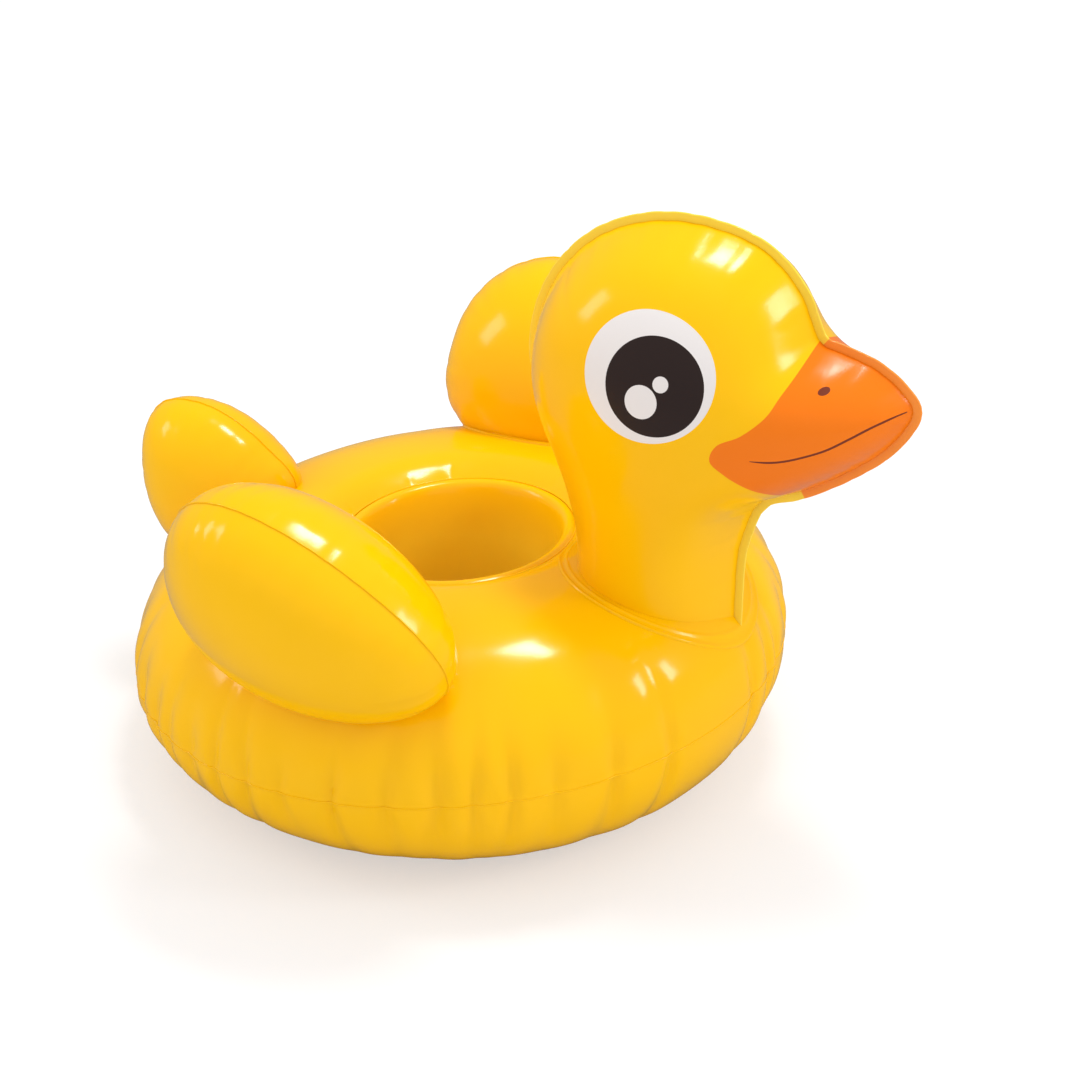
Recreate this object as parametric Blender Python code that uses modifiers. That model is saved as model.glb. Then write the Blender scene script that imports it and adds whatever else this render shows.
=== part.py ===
"""Inflatable duck float: a ring body with a well, a head, two wings, a tail and a push-in air valve.

Metres, +Z up, +X towards the beak, +Y to the duck's left. It is made of welded vinyl film, so each
panel is a thin shell with its own material, and the pieces that bend at their root weld, or that
slide and swing in the valve, are placed on the axis of that motion.
"""
import math

import bmesh
import bpy
import numpy as np
from mathutils import Matrix, Vector
from mathutils.geometry import delaunay_2d_cdt

# Driving dimensions of the film and the gaps between pieces
FILM = 0.0005
GAP = 0.0003
ROOT_CLEARANCE = 0.005
SEGMENTS = 36
VALVE_SEGMENTS = 16

# Ring body, measured from its own axis
RING_RADIUS = 0.130
SEAM_HEIGHT = 0.045
CREST_HEIGHT = 0.098
CREST_RADIUS = 0.062
GROOVE_RADIUS = 0.0463
GROOVE_HEIGHT = 0.0915
FOOT_OUTER_RADIUS = 0.062
FOOT_INNER_RADIUS = 0.050
SHOULDER_RADII = (0.0570, 0.0520)
WELL_WALL = (
    (0.0435, 0.0920), (0.0410, 0.0895), (0.0388, 0.0800), (0.0374, 0.0640), (0.0370, 0.0480),
    (0.0376, 0.0300), (0.0400, 0.0150), (0.0440, 0.0055),
)
WELL_FOOT_HEIGHT = 0.0015
FRONT_LIFT = 0.010
ROUNDNESS = 2.2

# Head, in the plane of symmetry
NECK_X = 0.0868
HEAD_SPACING = 0.0110
NECK_MOUTH_HEIGHT = 0.0801
NECK_MOUTH_HALF_WIDTH = 0.031
BEAK_FRONT_X = 0.14
EYE_CENTRE = (0.0980, 0.1977)
EYE_RADII = (0.0236, 0.0221)
PUPIL_CENTRE = (0.1009, 0.1952)
PUPIL_RADII = (0.0180, 0.0170)
GLINT_CENTRE = (0.0972, 0.1898)
GLINT_RADIUS = 0.0061

# Wings: an egg outline in a leaning plane, pointed to the front
WING_CENTRE = (0.001, 0.1085, 0.1130)
WING_HALF_LENGTH = 0.0600
WING_HALF_HEIGHT = 0.0450
WING_FULLNESS = 0.0345
WING_TAPER = 0.18
WING_ROOT_SWELL = 0.10
WING_YAW = math.radians(-9)
WING_LEAN = math.radians(24)
WING_PITCH = math.radians(11)
WING_SPACING = 0.0120

TAIL_SPACING = 0.0100
NECK_HINGE_HEIGHT = 0.104

# Valve, on the left rear shoulder of the ring, with heights measured out of the film
VALVE_XY = (-0.1130, 0.0400)
STEM_RADIUS = 0.0048
BORE_RADIUS = 0.0032
STEM_TOP = 0.010
STEM_BOTTOM = -0.004
LIP_RADIUS = 0.0058
LIP_HEIGHT = 0.0010
FLANGE_RADII = (0.0053, 0.0062, 0.0095)
FLANGE_HEIGHTS = (0.0006, 0.0010, 0.0016)
LOOP_RADIUS = 0.0064
LOOP_HEIGHTS = (0.0075, 0.0086)
ARM_INNER = 0.0058
ARM_HEIGHTS = (0.0077, 0.0084)
POST_INNER = 0.0087
POST_BOTTOM = 0.0080
STRAP_END = 0.0098
STRAP_HALF_WIDTH = 0.0015
STRAP_THICKNESS = 0.0008
STRAP_HINGE = (STRAP_END + 0.0001, STEM_TOP + GAP)
FLAP_RADIUS = 0.0040
FLAP_THICKNESS = 0.0007
FLAP_HALF_TAB = 0.0012
FLAP_HINGE = (0.0046, STEM_BOTTOM - GAP)
PLUG_RADII = (0.0040, 0.0052)
PLUG_HEIGHTS = (0.0009, 0.0019, 0.0022)
SHANK_RADII = (0.0026, 0.0021)
SHANK_LENGTH = 0.0030
SHANK_TAPER = 0.0010

# Roots of the joined pieces on the ring: centre and half sizes of each weld collar's inner edge
NECK_ROOT = ((0.0875, 0.0), (0.0318, 0.0340))
WING_ROOT = ((-0.0040, 0.0905), (0.0400, 0.0180))
TAIL_ROOT = ((-0.1040, 0.0), (0.0190, 0.0130))
NECK_PASSAGE = 0.020
WING_PASSAGE = 0.010
TAIL_PASSAGE = 0.008
VALVE_PASSAGE = 0.0058
COLLAR_WIDTH = 0.006
COLLAR_STANDOFF = 0.0013

VINYL_YELLOW = (0.95, 0.60, 0.010)
VINYL_ORANGE = (0.85, 0.20, 0.010)
INK_WHITE = (0.80, 0.78, 0.76)
INK_DARK = (0.020, 0.010, 0.008)
SOFT_CLEAR = (0.75, 0.78, 0.80)


# ---------------------------------------------------------------- scene and materials

def clear_scene():
    for obj in list(bpy.data.objects):
        bpy.data.objects.remove(obj)


def new_collection(name):
    collection = bpy.data.collections.new(name)
    bpy.context.scene.collection.children.link(collection)
    return collection


def new_material(name, colour, roughness):
    material = bpy.data.materials.new(name)
    material.use_nodes = True
    shader = material.node_tree.nodes["Principled BSDF"]
    shader.inputs["Base Color"].default_value = (*colour, 1)
    shader.inputs["Roughness"].default_value = roughness
    shader.inputs["Metallic"].default_value = 0
    return material


def add_object(name, mesh, material, collection=None):
    obj = bpy.data.objects.new(name, mesh)
    (collection or PARTS).objects.link(obj)
    if material:
        mesh.materials.clear()
        mesh.materials.append(material)
    mesh.shade_smooth()
    mesh.set_sharp_from_angle(angle=math.radians(40))
    return obj


def face_outwards(mesh, weld=1e-6):
    work = bmesh.new()
    work.from_mesh(mesh)
    bmesh.ops.remove_doubles(work, verts=work.verts, dist=weld)
    bmesh.ops.recalc_face_normals(work, faces=work.faces)
    work.to_mesh(mesh)
    work.free()
    return mesh


def applied(obj):
    """The object's evaluated mesh, with its modifiers applied, and the object removed."""
    bpy.context.view_layer.update()
    evaluated = obj.evaluated_get(bpy.context.evaluated_depsgraph_get())
    mesh = bpy.data.meshes.new_from_object(evaluated)
    mesh.transform(obj.matrix_world)
    bpy.data.objects.remove(obj)
    return face_outwards(mesh)


def cut(obj, cutter):
    modifier = obj.modifiers.new("cut_" + cutter.name, "BOOLEAN")
    modifier.operation = "DIFFERENCE"
    modifier.object = cutter


# ---------------------------------------------------------------- the ring's surface of revolution

def quarter(radius_from, radius_to, z_from, z_to, steps):
    """A superellipse quarter from (radius_from, z_from) to (radius_to, z_to)."""
    points = []
    for i in range(steps + 1):
        angle = math.pi / 2 * i / steps
        across = math.cos(angle) ** (2 / ROUNDNESS)
        up = math.sin(angle) ** (2 / ROUNDNESS)
        radius = radius_to + (radius_from - radius_to) * across
        points.append((radius, z_from + (z_to - z_from) * up))
    return points


def shoulder_height(radius):
    """Height of the ring's upper surface at a radius, before the front is lifted."""
    if radius < CREST_RADIUS:
        down = (CREST_RADIUS - radius) / (CREST_RADIUS - GROOVE_RADIUS)
        return CREST_HEIGHT - (CREST_HEIGHT - GROOVE_HEIGHT) * down ** 2
    across = min((radius - CREST_RADIUS) / (RING_RADIUS - CREST_RADIUS), 1)
    return SEAM_HEIGHT + (CREST_HEIGHT - SEAM_HEIGHT) * (1 - across ** ROUNDNESS) ** (1 / ROUNDNESS)


def lift(x, z):
    """The front of the body is fuller than the back: everything above the floor rises with x."""
    return z + FRONT_LIFT * x / RING_RADIUS * min(1, max(0, z / SEAM_HEIGHT))


def lifted(mesh):
    for vertex in mesh.vertices:
        vertex.co.z = lift(vertex.co.x, vertex.co.z)
    return mesh


def on_ring(x, y, above=0.0):
    """The point on the ring's upper surface over (x, y), moved out along the normal, and that normal."""
    step = 1e-4

    def height(px, py):
        return lift(px, shoulder_height(math.hypot(px, py)))

    slope_x = (height(x + step, y) - height(x - step, y)) / (2 * step)
    slope_y = (height(x, y + step) - height(x, y - step)) / (2 * step)
    normal = Vector((-slope_x, -slope_y, 1)).normalized()
    return Vector((x, y, height(x, y))) + normal * above, normal


def turned(name, profile, thickness=0.0, segments=SEGMENTS):
    """A mesh turned from an (r, z) profile about Z, given a wall when the profile is open."""
    mesh = bpy.data.meshes.new(name)
    count = len(profile)
    closed = thickness == 0.0
    edges = [(i, i + 1) for i in range(count - 1)] + ([(count - 1, 0)] if closed else [])
    mesh.from_pydata([(r, 0, z) for r, z in profile], edges, [])
    obj = bpy.data.objects.new(name, mesh)
    bpy.context.scene.collection.objects.link(obj)
    screw = obj.modifiers.new("turn", "SCREW")
    screw.steps = screw.render_steps = segments
    screw.use_merge_vertices = True
    screw.merge_threshold = 1e-5
    if thickness:
        wall = obj.modifiers.new("wall", "SOLIDIFY")
        wall.thickness = thickness
        wall.offset = 0
        wall.use_even_offset = True
    return applied(obj)


def ring_cutter(name, clearance):
    """The body of the ring, grown all round, which trims what stands on it."""
    outer = quarter(RING_RADIUS + clearance, CREST_RADIUS, SEAM_HEIGHT, CREST_HEIGHT + clearance, 14)
    inner = [(GROOVE_RADIUS - clearance, CREST_HEIGHT + clearance - 0.004), (GROOVE_RADIUS - clearance, 0.02)]
    base = [(RING_RADIUS + clearance - 0.03, -0.01), (RING_RADIUS + clearance, SEAM_HEIGHT - 0.02)]
    mesh = lifted(turned(name, outer + inner + base))
    obj = add_object(name, mesh, None, CUTTERS)
    obj.hide_render = True
    obj.display_type = "WIRE"
    return obj


# ---------------------------------------------------------------- inflated two-sided pieces

def smooth_curve(points, spacing, closed=True):
    """A Catmull-Rom curve through the points, sampled at about this spacing."""
    points = [np.array(p, float) for p in points]
    count = len(points)
    result = []
    for i in range(count if closed else count - 1):
        before, start, end, after = (
            points[j % count] if closed else points[min(max(j, 0), count - 1)]
            for j in (i - 1, i, i + 1, i + 2)
        )
        steps = max(1, round(float(np.linalg.norm(end - start)) / spacing))
        for k in range(steps):
            t = k / steps
            result.append(0.5 * (
                2 * start + (end - before) * t
                + (2 * before - 5 * start + 4 * end - after) * t ** 2
                + (3 * start - before - 3 * end + after) * t ** 3
            ))
    if not closed:
        result.append(points[-1])
    return result


def ellipse(centre, radii, count):
    angles = [2 * math.pi * i / count for i in range(count)]
    return [np.array((centre[0] + radii[0] * math.cos(a), centre[1] + radii[1] * math.sin(a))) for a in angles]


def inside(points, outline):
    """Which of the points lie inside the closed outline."""
    ends = np.roll(outline, -1, axis=0)
    result = np.zeros(len(points), bool)
    for a, b in zip(outline, ends):
        crosses = (a[1] > points[:, 1]) != (b[1] > points[:, 1])
        rise = b[1] - a[1] if b[1] != a[1] else 1e-12
        result ^= crosses & (points[:, 0] < (b[0] - a[0]) * (points[:, 1] - a[1]) / rise + a[0])
    return result


def triangulated(outline, lines, spacing):
    """A Delaunay mesh of the outline whose edges follow every line drawn on it."""
    loops = [list(outline)] + [list(loop) for loop, _ in lines]
    closed = [True] + [ring for _, ring in lines]
    points, edges = [], []
    for loop, ring in zip(loops, closed):
        first = len(points)
        points += [Vector(p) for p in loop]
        edges += [(first + i, first + i + 1) for i in range(len(loop) - 1)]
        if ring:
            edges.append((first + len(loop) - 1, first))
    drawn = np.array([tuple(p) for p in points])
    outline = np.array(outline)
    low, high = outline.min(axis=0), outline.max(axis=0)
    rows = int((high[1] - low[1]) / (spacing * 0.866)) + 1
    columns = int((high[0] - low[0]) / spacing) + 2
    grid = np.array([
        (low[0] + spacing * (column + 0.5 * (row % 2)), low[1] + spacing * 0.866 * (row + 0.5))
        for row in range(rows) for column in range(columns)
    ])
    grid = grid[inside(grid, outline)]
    nearest = np.sqrt(((grid[:, None, :] - drawn[None, :, :]) ** 2).sum(axis=2)).min(axis=1)
    points += [Vector(p) for p in grid[nearest > 0.6 * spacing]]
    flat, _, faces, *_ = delaunay_2d_cdt(points, edges, [], 0, 1e-7)
    flat = np.array([tuple(p) for p in flat])
    faces = np.array([tuple(f) for f in faces if len(f) == 3])
    return flat, faces[inside(flat[faces].mean(axis=1), outline)]


def boundary_of(faces):
    """The open edges of a set of triangles, in the direction of their face."""
    seen = {}
    for a, b, c in faces:
        for edge in ((a, b), (b, c), (c, a)):
            seen[edge] = True
    return [(a, b) for a, b in seen if (b, a) not in seen]


def inflated(flat, faces, is_open=None):
    """Half thickness at each point of a flat film held along its edge and blown up like a cushion.

    It solves for the deflection of a membrane under pressure, u, and takes sqrt(2u), which makes a
    long strip a round tube. Edge points for which is_open is true are left free.
    """
    count = len(flat)
    stiffness = np.zeros((count, count))
    load = np.zeros(count)
    corners = flat[faces]
    sides = np.stack([corners[:, 2] - corners[:, 1], corners[:, 0] - corners[:, 2], corners[:, 1] - corners[:, 0]], axis=1)
    area = 0.5 * np.abs(sides[:, 0, 0] * sides[:, 1, 1] - sides[:, 0, 1] * sides[:, 1, 0])
    area = np.maximum(area, 1e-12)
    for i in range(3):
        np.add.at(load, faces[:, i], area / 3)
        for j in range(3):
            np.add.at(stiffness, (faces[:, i], faces[:, j]), (sides[:, i] * sides[:, j]).sum(axis=1) / (4 * area))
    free = np.ones(count, bool)
    for a, b in boundary_of(faces):
        for end in (a, b):
            if not (is_open and is_open(flat[end])):
                free[end] = False
    used = np.zeros(count, bool)
    used[faces.ravel()] = True
    free &= used
    deflection = np.zeros(count)
    deflection[free] = np.linalg.solve(stiffness[np.ix_(free, free)], load[free])
    return np.sqrt(2 * np.maximum(deflection, 0))


def vertex_normals(points, faces):
    corners = points[faces]
    face_normals = np.cross(corners[:, 1] - corners[:, 0], corners[:, 2] - corners[:, 0])
    normals = np.zeros_like(points)
    for i in range(3):
        np.add.at(normals, faces[:, i], face_normals)
    return normals / np.maximum(np.linalg.norm(normals, axis=1, keepdims=True), 1e-12)


def film_shell(name, flat, height, faces, place, wall, raise_by=0.0, inset=0.0, keep=None):
    """One side of an inflated piece as a closed shell of the given wall, in world space by place().

    The surface stands off the seam plane by half the gap, and its wall grows inwards but never
    through that plane. raise_by lifts a printed film off the panel under it, and inset draws the
    edge of a panel back from its neighbour.
    """
    points = np.column_stack([flat, height])
    normals = vertex_normals(points, faces)
    if keep is not None:
        faces = faces[keep]
    if inset:
        edge_ways = {}
        for a, b in boundary_of(faces):
            along = flat[b] - flat[a]
            inward = np.array((-along[1], along[0])) / max(np.linalg.norm(along), 1e-12)
            for end in (a, b):
                edge_ways[end] = edge_ways.get(end, 0) + inward
        for index, inward in edge_ways.items():
            if height[index] > 1e-9 or raise_by:
                inward = inward / max(np.linalg.norm(inward), 1e-12)
                points[index, :2] += inset * inward
    outer = points + normals * raise_by
    inner = outer - normals * wall
    outer[:, 2] = np.maximum(outer[:, 2], 0) + GAP / 2
    inner[:, 2] = np.maximum(inner[:, 2], 0) + GAP / 2
    count = len(points)
    sides = []
    for a, b in boundary_of(faces):
        sides.append((b, a, a + count))
        sides.append((b, a + count, b + count))
    shell = [tuple(f) for f in faces] + [(a + count, c + count, b + count) for a, b, c in faces] + sides
    used = sorted({i for f in shell for i in f})
    index = {old: new for new, old in enumerate(used)}
    everything = np.concatenate([outer, inner])
    mesh = bpy.data.meshes.new(name)
    mesh.from_pydata(
        [place(everything[i]) for i in used], [], [tuple(index[i] for i in f) for f in shell]
    )
    return face_outwards(mesh, 1e-8)


# ---------------------------------------------------------------- outlines

def head_outline():
    """Side outline of neck, head and beak as (x, z), up the back of the neck and round to the throat."""
    back = [(0.0554, 0.0800), (0.0554, 0.1083), (0.0542, 0.1241), (0.0488, 0.1427), (0.0397, 0.1592)]
    skull = [(0.0351, 0.1757), (0.0374, 0.1950), (0.0458, 0.2132), (0.0612, 0.2292), (0.0820, 0.2388),
             (0.1037, 0.2408), (0.1248, 0.2360), (0.1392, 0.2232), (0.1476, 0.2063)]
    beak = [(0.1563, 0.2034), (0.1687, 0.2001), (0.1795, 0.1931), (0.1836, 0.1848), (0.1745, 0.1695),
            (0.1588, 0.1555), (0.1427, 0.1447)]
    throat = [(0.1315, 0.1398), (0.1257, 0.1331), (0.1224, 0.1232), (0.1199, 0.1096), (0.1195, 0.0740)]
    return smooth_curve(back + skull + beak + throat, HEAD_SPACING, closed=False)


def beak_border():
    """The line on each side of the head where the orange film starts, from brow to chin."""
    points = [(0.1476, 0.2063), (0.1464, 0.2001), (0.1443, 0.1948), (0.1414, 0.1886), (0.1344, 0.1819),
              (0.1269, 0.1778), (0.1245, 0.1712), (0.1290, 0.1654), (0.1356, 0.1584), (0.1410, 0.1520),
              (0.1427, 0.1447)]
    return smooth_curve(points, HEAD_SPACING * 0.8, closed=False)


def wing_outline():
    """Egg outline in the wing's own plane, pointed towards the front, where u is negative."""
    count = round(2 * math.pi * WING_HALF_LENGTH / WING_SPACING)
    points = []
    for i in range(count):
        angle = 2 * math.pi * i / count
        u = WING_HALF_LENGTH * math.cos(angle)
        v = WING_HALF_HEIGHT * math.sin(angle) * (1 + WING_TAPER * math.cos(angle))
        if v < 0 < u:
            u *= 1 + WING_ROOT_SWELL * math.sin(2 * angle) ** 2
        points.append(np.array((u, v)))
    return points


def tail_outline():
    """Side outline of the tail as (x, z). Its lower front is inside the ring, where it is trimmed."""
    points = [(-0.1050, 0.0560), (-0.1300, 0.0520), (-0.1415, 0.0640), (-0.1465, 0.0800), (-0.1475, 0.0965),
              (-0.1440, 0.1105), (-0.1345, 0.1180), (-0.1190, 0.1195), (-0.1040, 0.1155), (-0.0890, 0.1065),
              (-0.0760, 0.0935), (-0.0820, 0.0700)]
    return smooth_curve(points, TAIL_SPACING)


# ---------------------------------------------------------------- the pieces

def build_ring():
    top = quarter(RING_RADIUS, CREST_RADIUS, SEAM_HEIGHT + GAP, CREST_HEIGHT, 9)
    top += [(r, shoulder_height(r)) for r in (*SHOULDER_RADII, GROOVE_RADIUS + GAP)]
    bottom = quarter(RING_RADIUS, FOOT_OUTER_RADIUS, SEAM_HEIGHT - GAP, FILM / 2, 7)
    bottom += [(FOOT_INNER_RADIUS + GAP, FILM / 2)]
    wall = [(GROOVE_RADIUS - GAP, GROOVE_HEIGHT), *WELL_WALL, (FOOT_INNER_RADIUS - GAP, WELL_FOOT_HEIGHT)]
    panels = {}
    for name, profile in (("ring_top_panel", top), ("ring_bottom_panel", bottom), ("well_wall_panel", wall)):
        mesh = lifted(turned(name, profile, FILM))
        panels[name] = add_object(name, mesh, YELLOW)
    return panels


def passage_cutter(name, x, y, radius):
    """A round hole through the ring's film, square to it, for air to pass into a joined piece."""
    centre, normal = on_ring(x, y)
    bpy.ops.mesh.primitive_cylinder_add(vertices=12, radius=radius, depth=0.02)
    obj = bpy.context.active_object
    for collection in obj.users_collection:
        collection.objects.unlink(obj)
    CUTTERS.objects.link(obj)
    obj.name = name
    obj.matrix_world = Matrix.Translation(centre) @ normal.to_track_quat("Z", "Y").to_matrix().to_4x4()
    obj.hide_render = True
    obj.display_type = "WIRE"
    return obj


def root_collar(name, x, y, radii, turn, width, count=28):
    """A welded band of film lying on the ring round the root of a joined piece."""
    rows = []
    for offset in (0.0, 0.5, 1.0):
        row = []
        for i in range(count):
            angle = 2 * math.pi * i / count
            away = Vector((radii[0] * math.cos(angle), radii[1] * math.sin(angle)))
            away.rotate(Matrix.Rotation(turn, 2))
            start = Vector((x, y)) + away
            direction = away.normalized()
            here, normal = on_ring(start.x, start.y)
            fall = normal.x * direction.x + normal.y * direction.y
            flat_width = width * offset * math.sqrt(max(0.05, 1 - fall ** 2))
            row.append(start + direction * flat_width)
        rows.append(row)
    points, faces = [], []
    for above in (COLLAR_STANDOFF + FILM, COLLAR_STANDOFF):
        for row in rows:
            points += [on_ring(p.x, p.y, above)[0] for p in row]
    layer = len(rows) * count
    for r in range(len(rows) - 1):
        for i in range(count):
            a, b = r * count + i, r * count + (i + 1) % count
            faces.append((a, b, b + count, a + count))
            faces.append((a + layer, a + count + layer, b + count + layer, b + layer))
    for first, flip in ((0, 1), (layer - count, -1)):
        for i in range(count):
            a, b = first + i, first + (i + 1) % count
            faces.append((a, a + layer, b + layer, b)[::flip])
    mesh = bpy.data.meshes.new(name)
    mesh.from_pydata(points, [], faces)
    return add_object(name, face_outwards(mesh), YELLOW)


def at_neck_mouth(point):
    return point[1] < NECK_MOUTH_HEIGHT and abs(point[0] - NECK_X) < NECK_MOUTH_HALF_WIDTH


def build_head(pivot):
    border = beak_border()
    lines = [(border, False), (ellipse(EYE_CENTRE, EYE_RADII, 16), True),
             (ellipse(PUPIL_CENTRE, PUPIL_RADII, 14), True)]
    lines.append((ellipse(GLINT_CENTRE, (GLINT_RADIUS, GLINT_RADIUS), 8), True))
    outline = head_outline()
    border[0], border[-1] = (min(outline, key=lambda p: np.hypot(*(p - end))) for end in (border[0], border[-1]))
    flat, faces = triangulated(outline, lines, HEAD_SPACING)
    height = inflated(flat, faces, at_neck_mouth)
    centres = flat[faces].mean(axis=1)
    front = [p for p in outline if p[0] > BEAK_FRONT_X and p[1] > border[-1][1] - 1e-9]
    orange = inside(centres, np.array(border[:-1] + front[::-1]))
    white = inside(centres, np.array(lines[1][0]))
    dark = inside(centres, np.array(lines[2][0])) & ~inside(centres, np.array(lines[3][0]))
    for side, sign in (("left", 1), ("right", -1)):
        def place(p, sign=sign):
            return (p[0], sign * p[2], p[1])

        head = film_shell(f"head_{side}_panel", flat, height, faces, place, FILM, inset=GAP / 2, keep=~orange)
        beak = film_shell(f"beak_{side}_panel", flat, height, faces, place, FILM, inset=GAP / 2, keep=orange)
        eye = film_shell(f"{side}_eye_white", flat, height, faces, place, GAP, raise_by=2 * GAP, keep=white)
        pupil = film_shell(f"{side}_eye_pupil", flat, height, faces, place, GAP, raise_by=4 * GAP, keep=dark)
        pieces = [(head, YELLOW), (beak, ORANGE), (eye, WHITE), (pupil, DARK)]
        for mesh, material in pieces:
            obj = add_object(mesh.name, mesh, material)
            hang_on(pivot, obj)
            if mesh is head:
                cut(obj, CLEARANCE)


def wing_axes():
    """The right wing's axes: along to the rear, up in its leaning plane, and outwards."""
    back = Vector((-math.cos(WING_YAW), -math.sin(WING_YAW), 0))
    out = Vector((math.sin(WING_YAW), -math.cos(WING_YAW), 0))
    up = Vector((0, 0, 1))
    leaning = up * math.cos(WING_LEAN) + out * math.sin(WING_LEAN)
    normal = out * math.cos(WING_LEAN) - up * math.sin(WING_LEAN)
    along = back * math.cos(WING_PITCH) + leaning * math.sin(WING_PITCH)
    across = leaning * math.cos(WING_PITCH) - back * math.sin(WING_PITCH)
    return back, along, across, normal


def build_wing(side, sign, pivot):
    _, along, across, normal = wing_axes()
    centre = Vector((WING_CENTRE[0], -WING_CENTRE[1], WING_CENTRE[2]))
    flat, faces = triangulated(wing_outline(), [], WING_SPACING)
    height = inflated(flat, faces)
    height *= WING_FULLNESS / height.max()
    for panel, facing in (("outer", 1), ("inner", -1)):
        def place(p, facing=facing):
            point = centre + along * p[0] + across * p[1] + normal * (p[2] * facing)
            return (point.x, -sign * point.y, point.z)

        mesh = film_shell(f"{side}_wing_{panel}_panel", flat, height, faces, place, FILM)
        obj = add_object(mesh.name, mesh, YELLOW)
        hang_on(pivot, obj)
        cut(obj, CLEARANCE)


def build_tail(pivot):
    flat, faces = triangulated(tail_outline(), [], TAIL_SPACING)
    height = inflated(flat, faces)
    for side, sign in (("left", 1), ("right", -1)):
        def place(p, sign=sign):
            return (p[0], sign * p[2], p[1])

        mesh = film_shell(f"tail_{side}_panel", flat, height, faces, place, FILM)
        obj = add_object(mesh.name, mesh, YELLOW)
        hang_on(pivot, obj)
        cut(obj, CLEARANCE)


def build_valve(frame):
    """The flange welded to the film, the stem that pushes in, its flap, and the plug on its strap."""
    stem_axis = add_empty("stem_slide", frame.translation)
    strap_axis = add_empty("strap_hinge", frame @ Vector((STRAP_HINGE[0], 0, STRAP_HINGE[1])))
    flap_axis = add_empty("flap_hinge", frame @ Vector((FLAP_HINGE[0], 0, FLAP_HINGE[1])))

    def put(name, mesh, pivot=None):
        mesh.transform(frame)
        obj = add_object(name, face_outwards(mesh), CLEAR)
        hang_on(pivot, obj)

    inner, step, outer = FLANGE_RADII
    low, middle, high = FLANGE_HEIGHTS
    flange = [(inner, high), (step, high), (outer, middle), (outer, low), (inner, low)]
    put("valve_flange", turned("flange", flange, segments=VALVE_SEGMENTS))
    stem = [(BORE_RADIUS, STEM_TOP), (LIP_RADIUS, STEM_TOP), (LIP_RADIUS, STEM_TOP - LIP_HEIGHT),
            (STEM_RADIUS, STEM_TOP - 1.2 * LIP_HEIGHT), (STEM_RADIUS, STEM_BOTTOM), (BORE_RADIUS, STEM_BOTTOM)]
    put("valve_stem", turned("stem", stem, segments=VALVE_SEGMENTS), stem_axis)

    inner = STEM_RADIUS + GAP
    low, high = LOOP_HEIGHTS
    loop = [(inner, high), (LOOP_RADIUS, high), (LOOP_RADIUS, low), (inner, low)]
    ring = loose_object("ring", turned("loop", loop, segments=VALVE_SEGMENTS))
    across = (-STRAP_HALF_WIDTH, STRAP_HALF_WIDTH)
    arm = box("arm", (ARM_INNER, STRAP_END), across, ARM_HEIGHTS)
    post = box("post", (POST_INNER, STRAP_END), across, (POST_BOTTOM, STEM_TOP - GAP))
    put("strap_ring", united(ring, arm, post), stem_axis)

    high = FLAP_HINGE[1]
    low = high - FLAP_THICKNESS
    disc = [(0, high), (FLAP_RADIUS, high), (FLAP_RADIUS, low), (0, low)]
    flap = loose_object("flap", turned("disc", disc, segments=VALVE_SEGMENTS))
    tab = box("tab", (FLAP_RADIUS - 0.001, FLAP_HINGE[0]), (-FLAP_HALF_TAB, FLAP_HALF_TAB), (low, high))
    put("valve_flap", united(flap, tab), flap_axis)

    under = STEM_TOP + GAP
    shank_end = under - SHANK_LENGTH
    rim, shoulder, crown = PLUG_HEIGHTS
    plug = [(0, under + crown), (PLUG_RADII[0], under + shoulder), (PLUG_RADII[1], under + rim),
            (PLUG_RADII[1], under), (SHANK_RADII[0], under), (SHANK_RADII[0], shank_end + SHANK_TAPER),
            (SHANK_RADII[1], shank_end), (0, shank_end)]
    put("valve_plug", turned("plug", plug, segments=VALVE_SEGMENTS), strap_axis)
    strap = box("strap", (PLUG_RADII[1] + GAP, STRAP_END), across, (under, under + STRAP_THICKNESS))
    put("plug_strap", applied(strap), strap_axis)


def loose_object(name, mesh):
    obj = bpy.data.objects.new(name, mesh)
    bpy.context.scene.collection.objects.link(obj)
    return obj


def box(name, x, y, z):
    bpy.ops.mesh.primitive_cube_add(size=1)
    obj = bpy.context.active_object
    obj.name = name
    middle = [(low + high) / 2 for low, high in (x, y, z)]
    size = [high - low for low, high in (x, y, z)]
    obj.data.transform(Matrix.Translation(middle) @ Matrix.Diagonal((*size, 1)))
    return obj


def united(base, *others):
    """The union of the base object and the others as one mesh."""
    for other in others:
        modifier = base.modifiers.new("join", "BOOLEAN")
        modifier.operation = "UNION"
        modifier.object = other
    mesh = applied(base)
    for other in others:
        bpy.data.objects.remove(other)
    return mesh


def add_empty(name, place):
    empty = bpy.data.objects.new(name, None)
    empty.empty_display_size = 0.01
    empty.location = place
    PARTS.objects.link(empty)
    return empty


def hang_on(pivot, obj):
    """Parents a piece to the empty on its joint's axis and leaves the piece where it is."""
    if pivot:
        obj.parent = pivot
        obj.matrix_parent_inverse = Matrix.Translation(-pivot.location)


def centre_on_floor():
    """Parents everything to one empty that puts the object's box centre over the origin."""
    bpy.context.view_layer.update()
    graph = bpy.context.evaluated_depsgraph_get()
    xs = []
    for obj in PARTS.objects:
        if obj.type == "MESH":
            piece = obj.evaluated_get(graph)
            xs += [(piece.matrix_world @ Vector(corner)).x for corner in piece.bound_box]
    middle = (min(xs) + max(xs)) / 2
    root = add_empty("body_origin", (-middle, 0, 0))
    for obj in list(PARTS.objects) + list(CUTTERS.objects):
        if obj is not root and obj.parent is None:
            obj.parent = root


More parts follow.
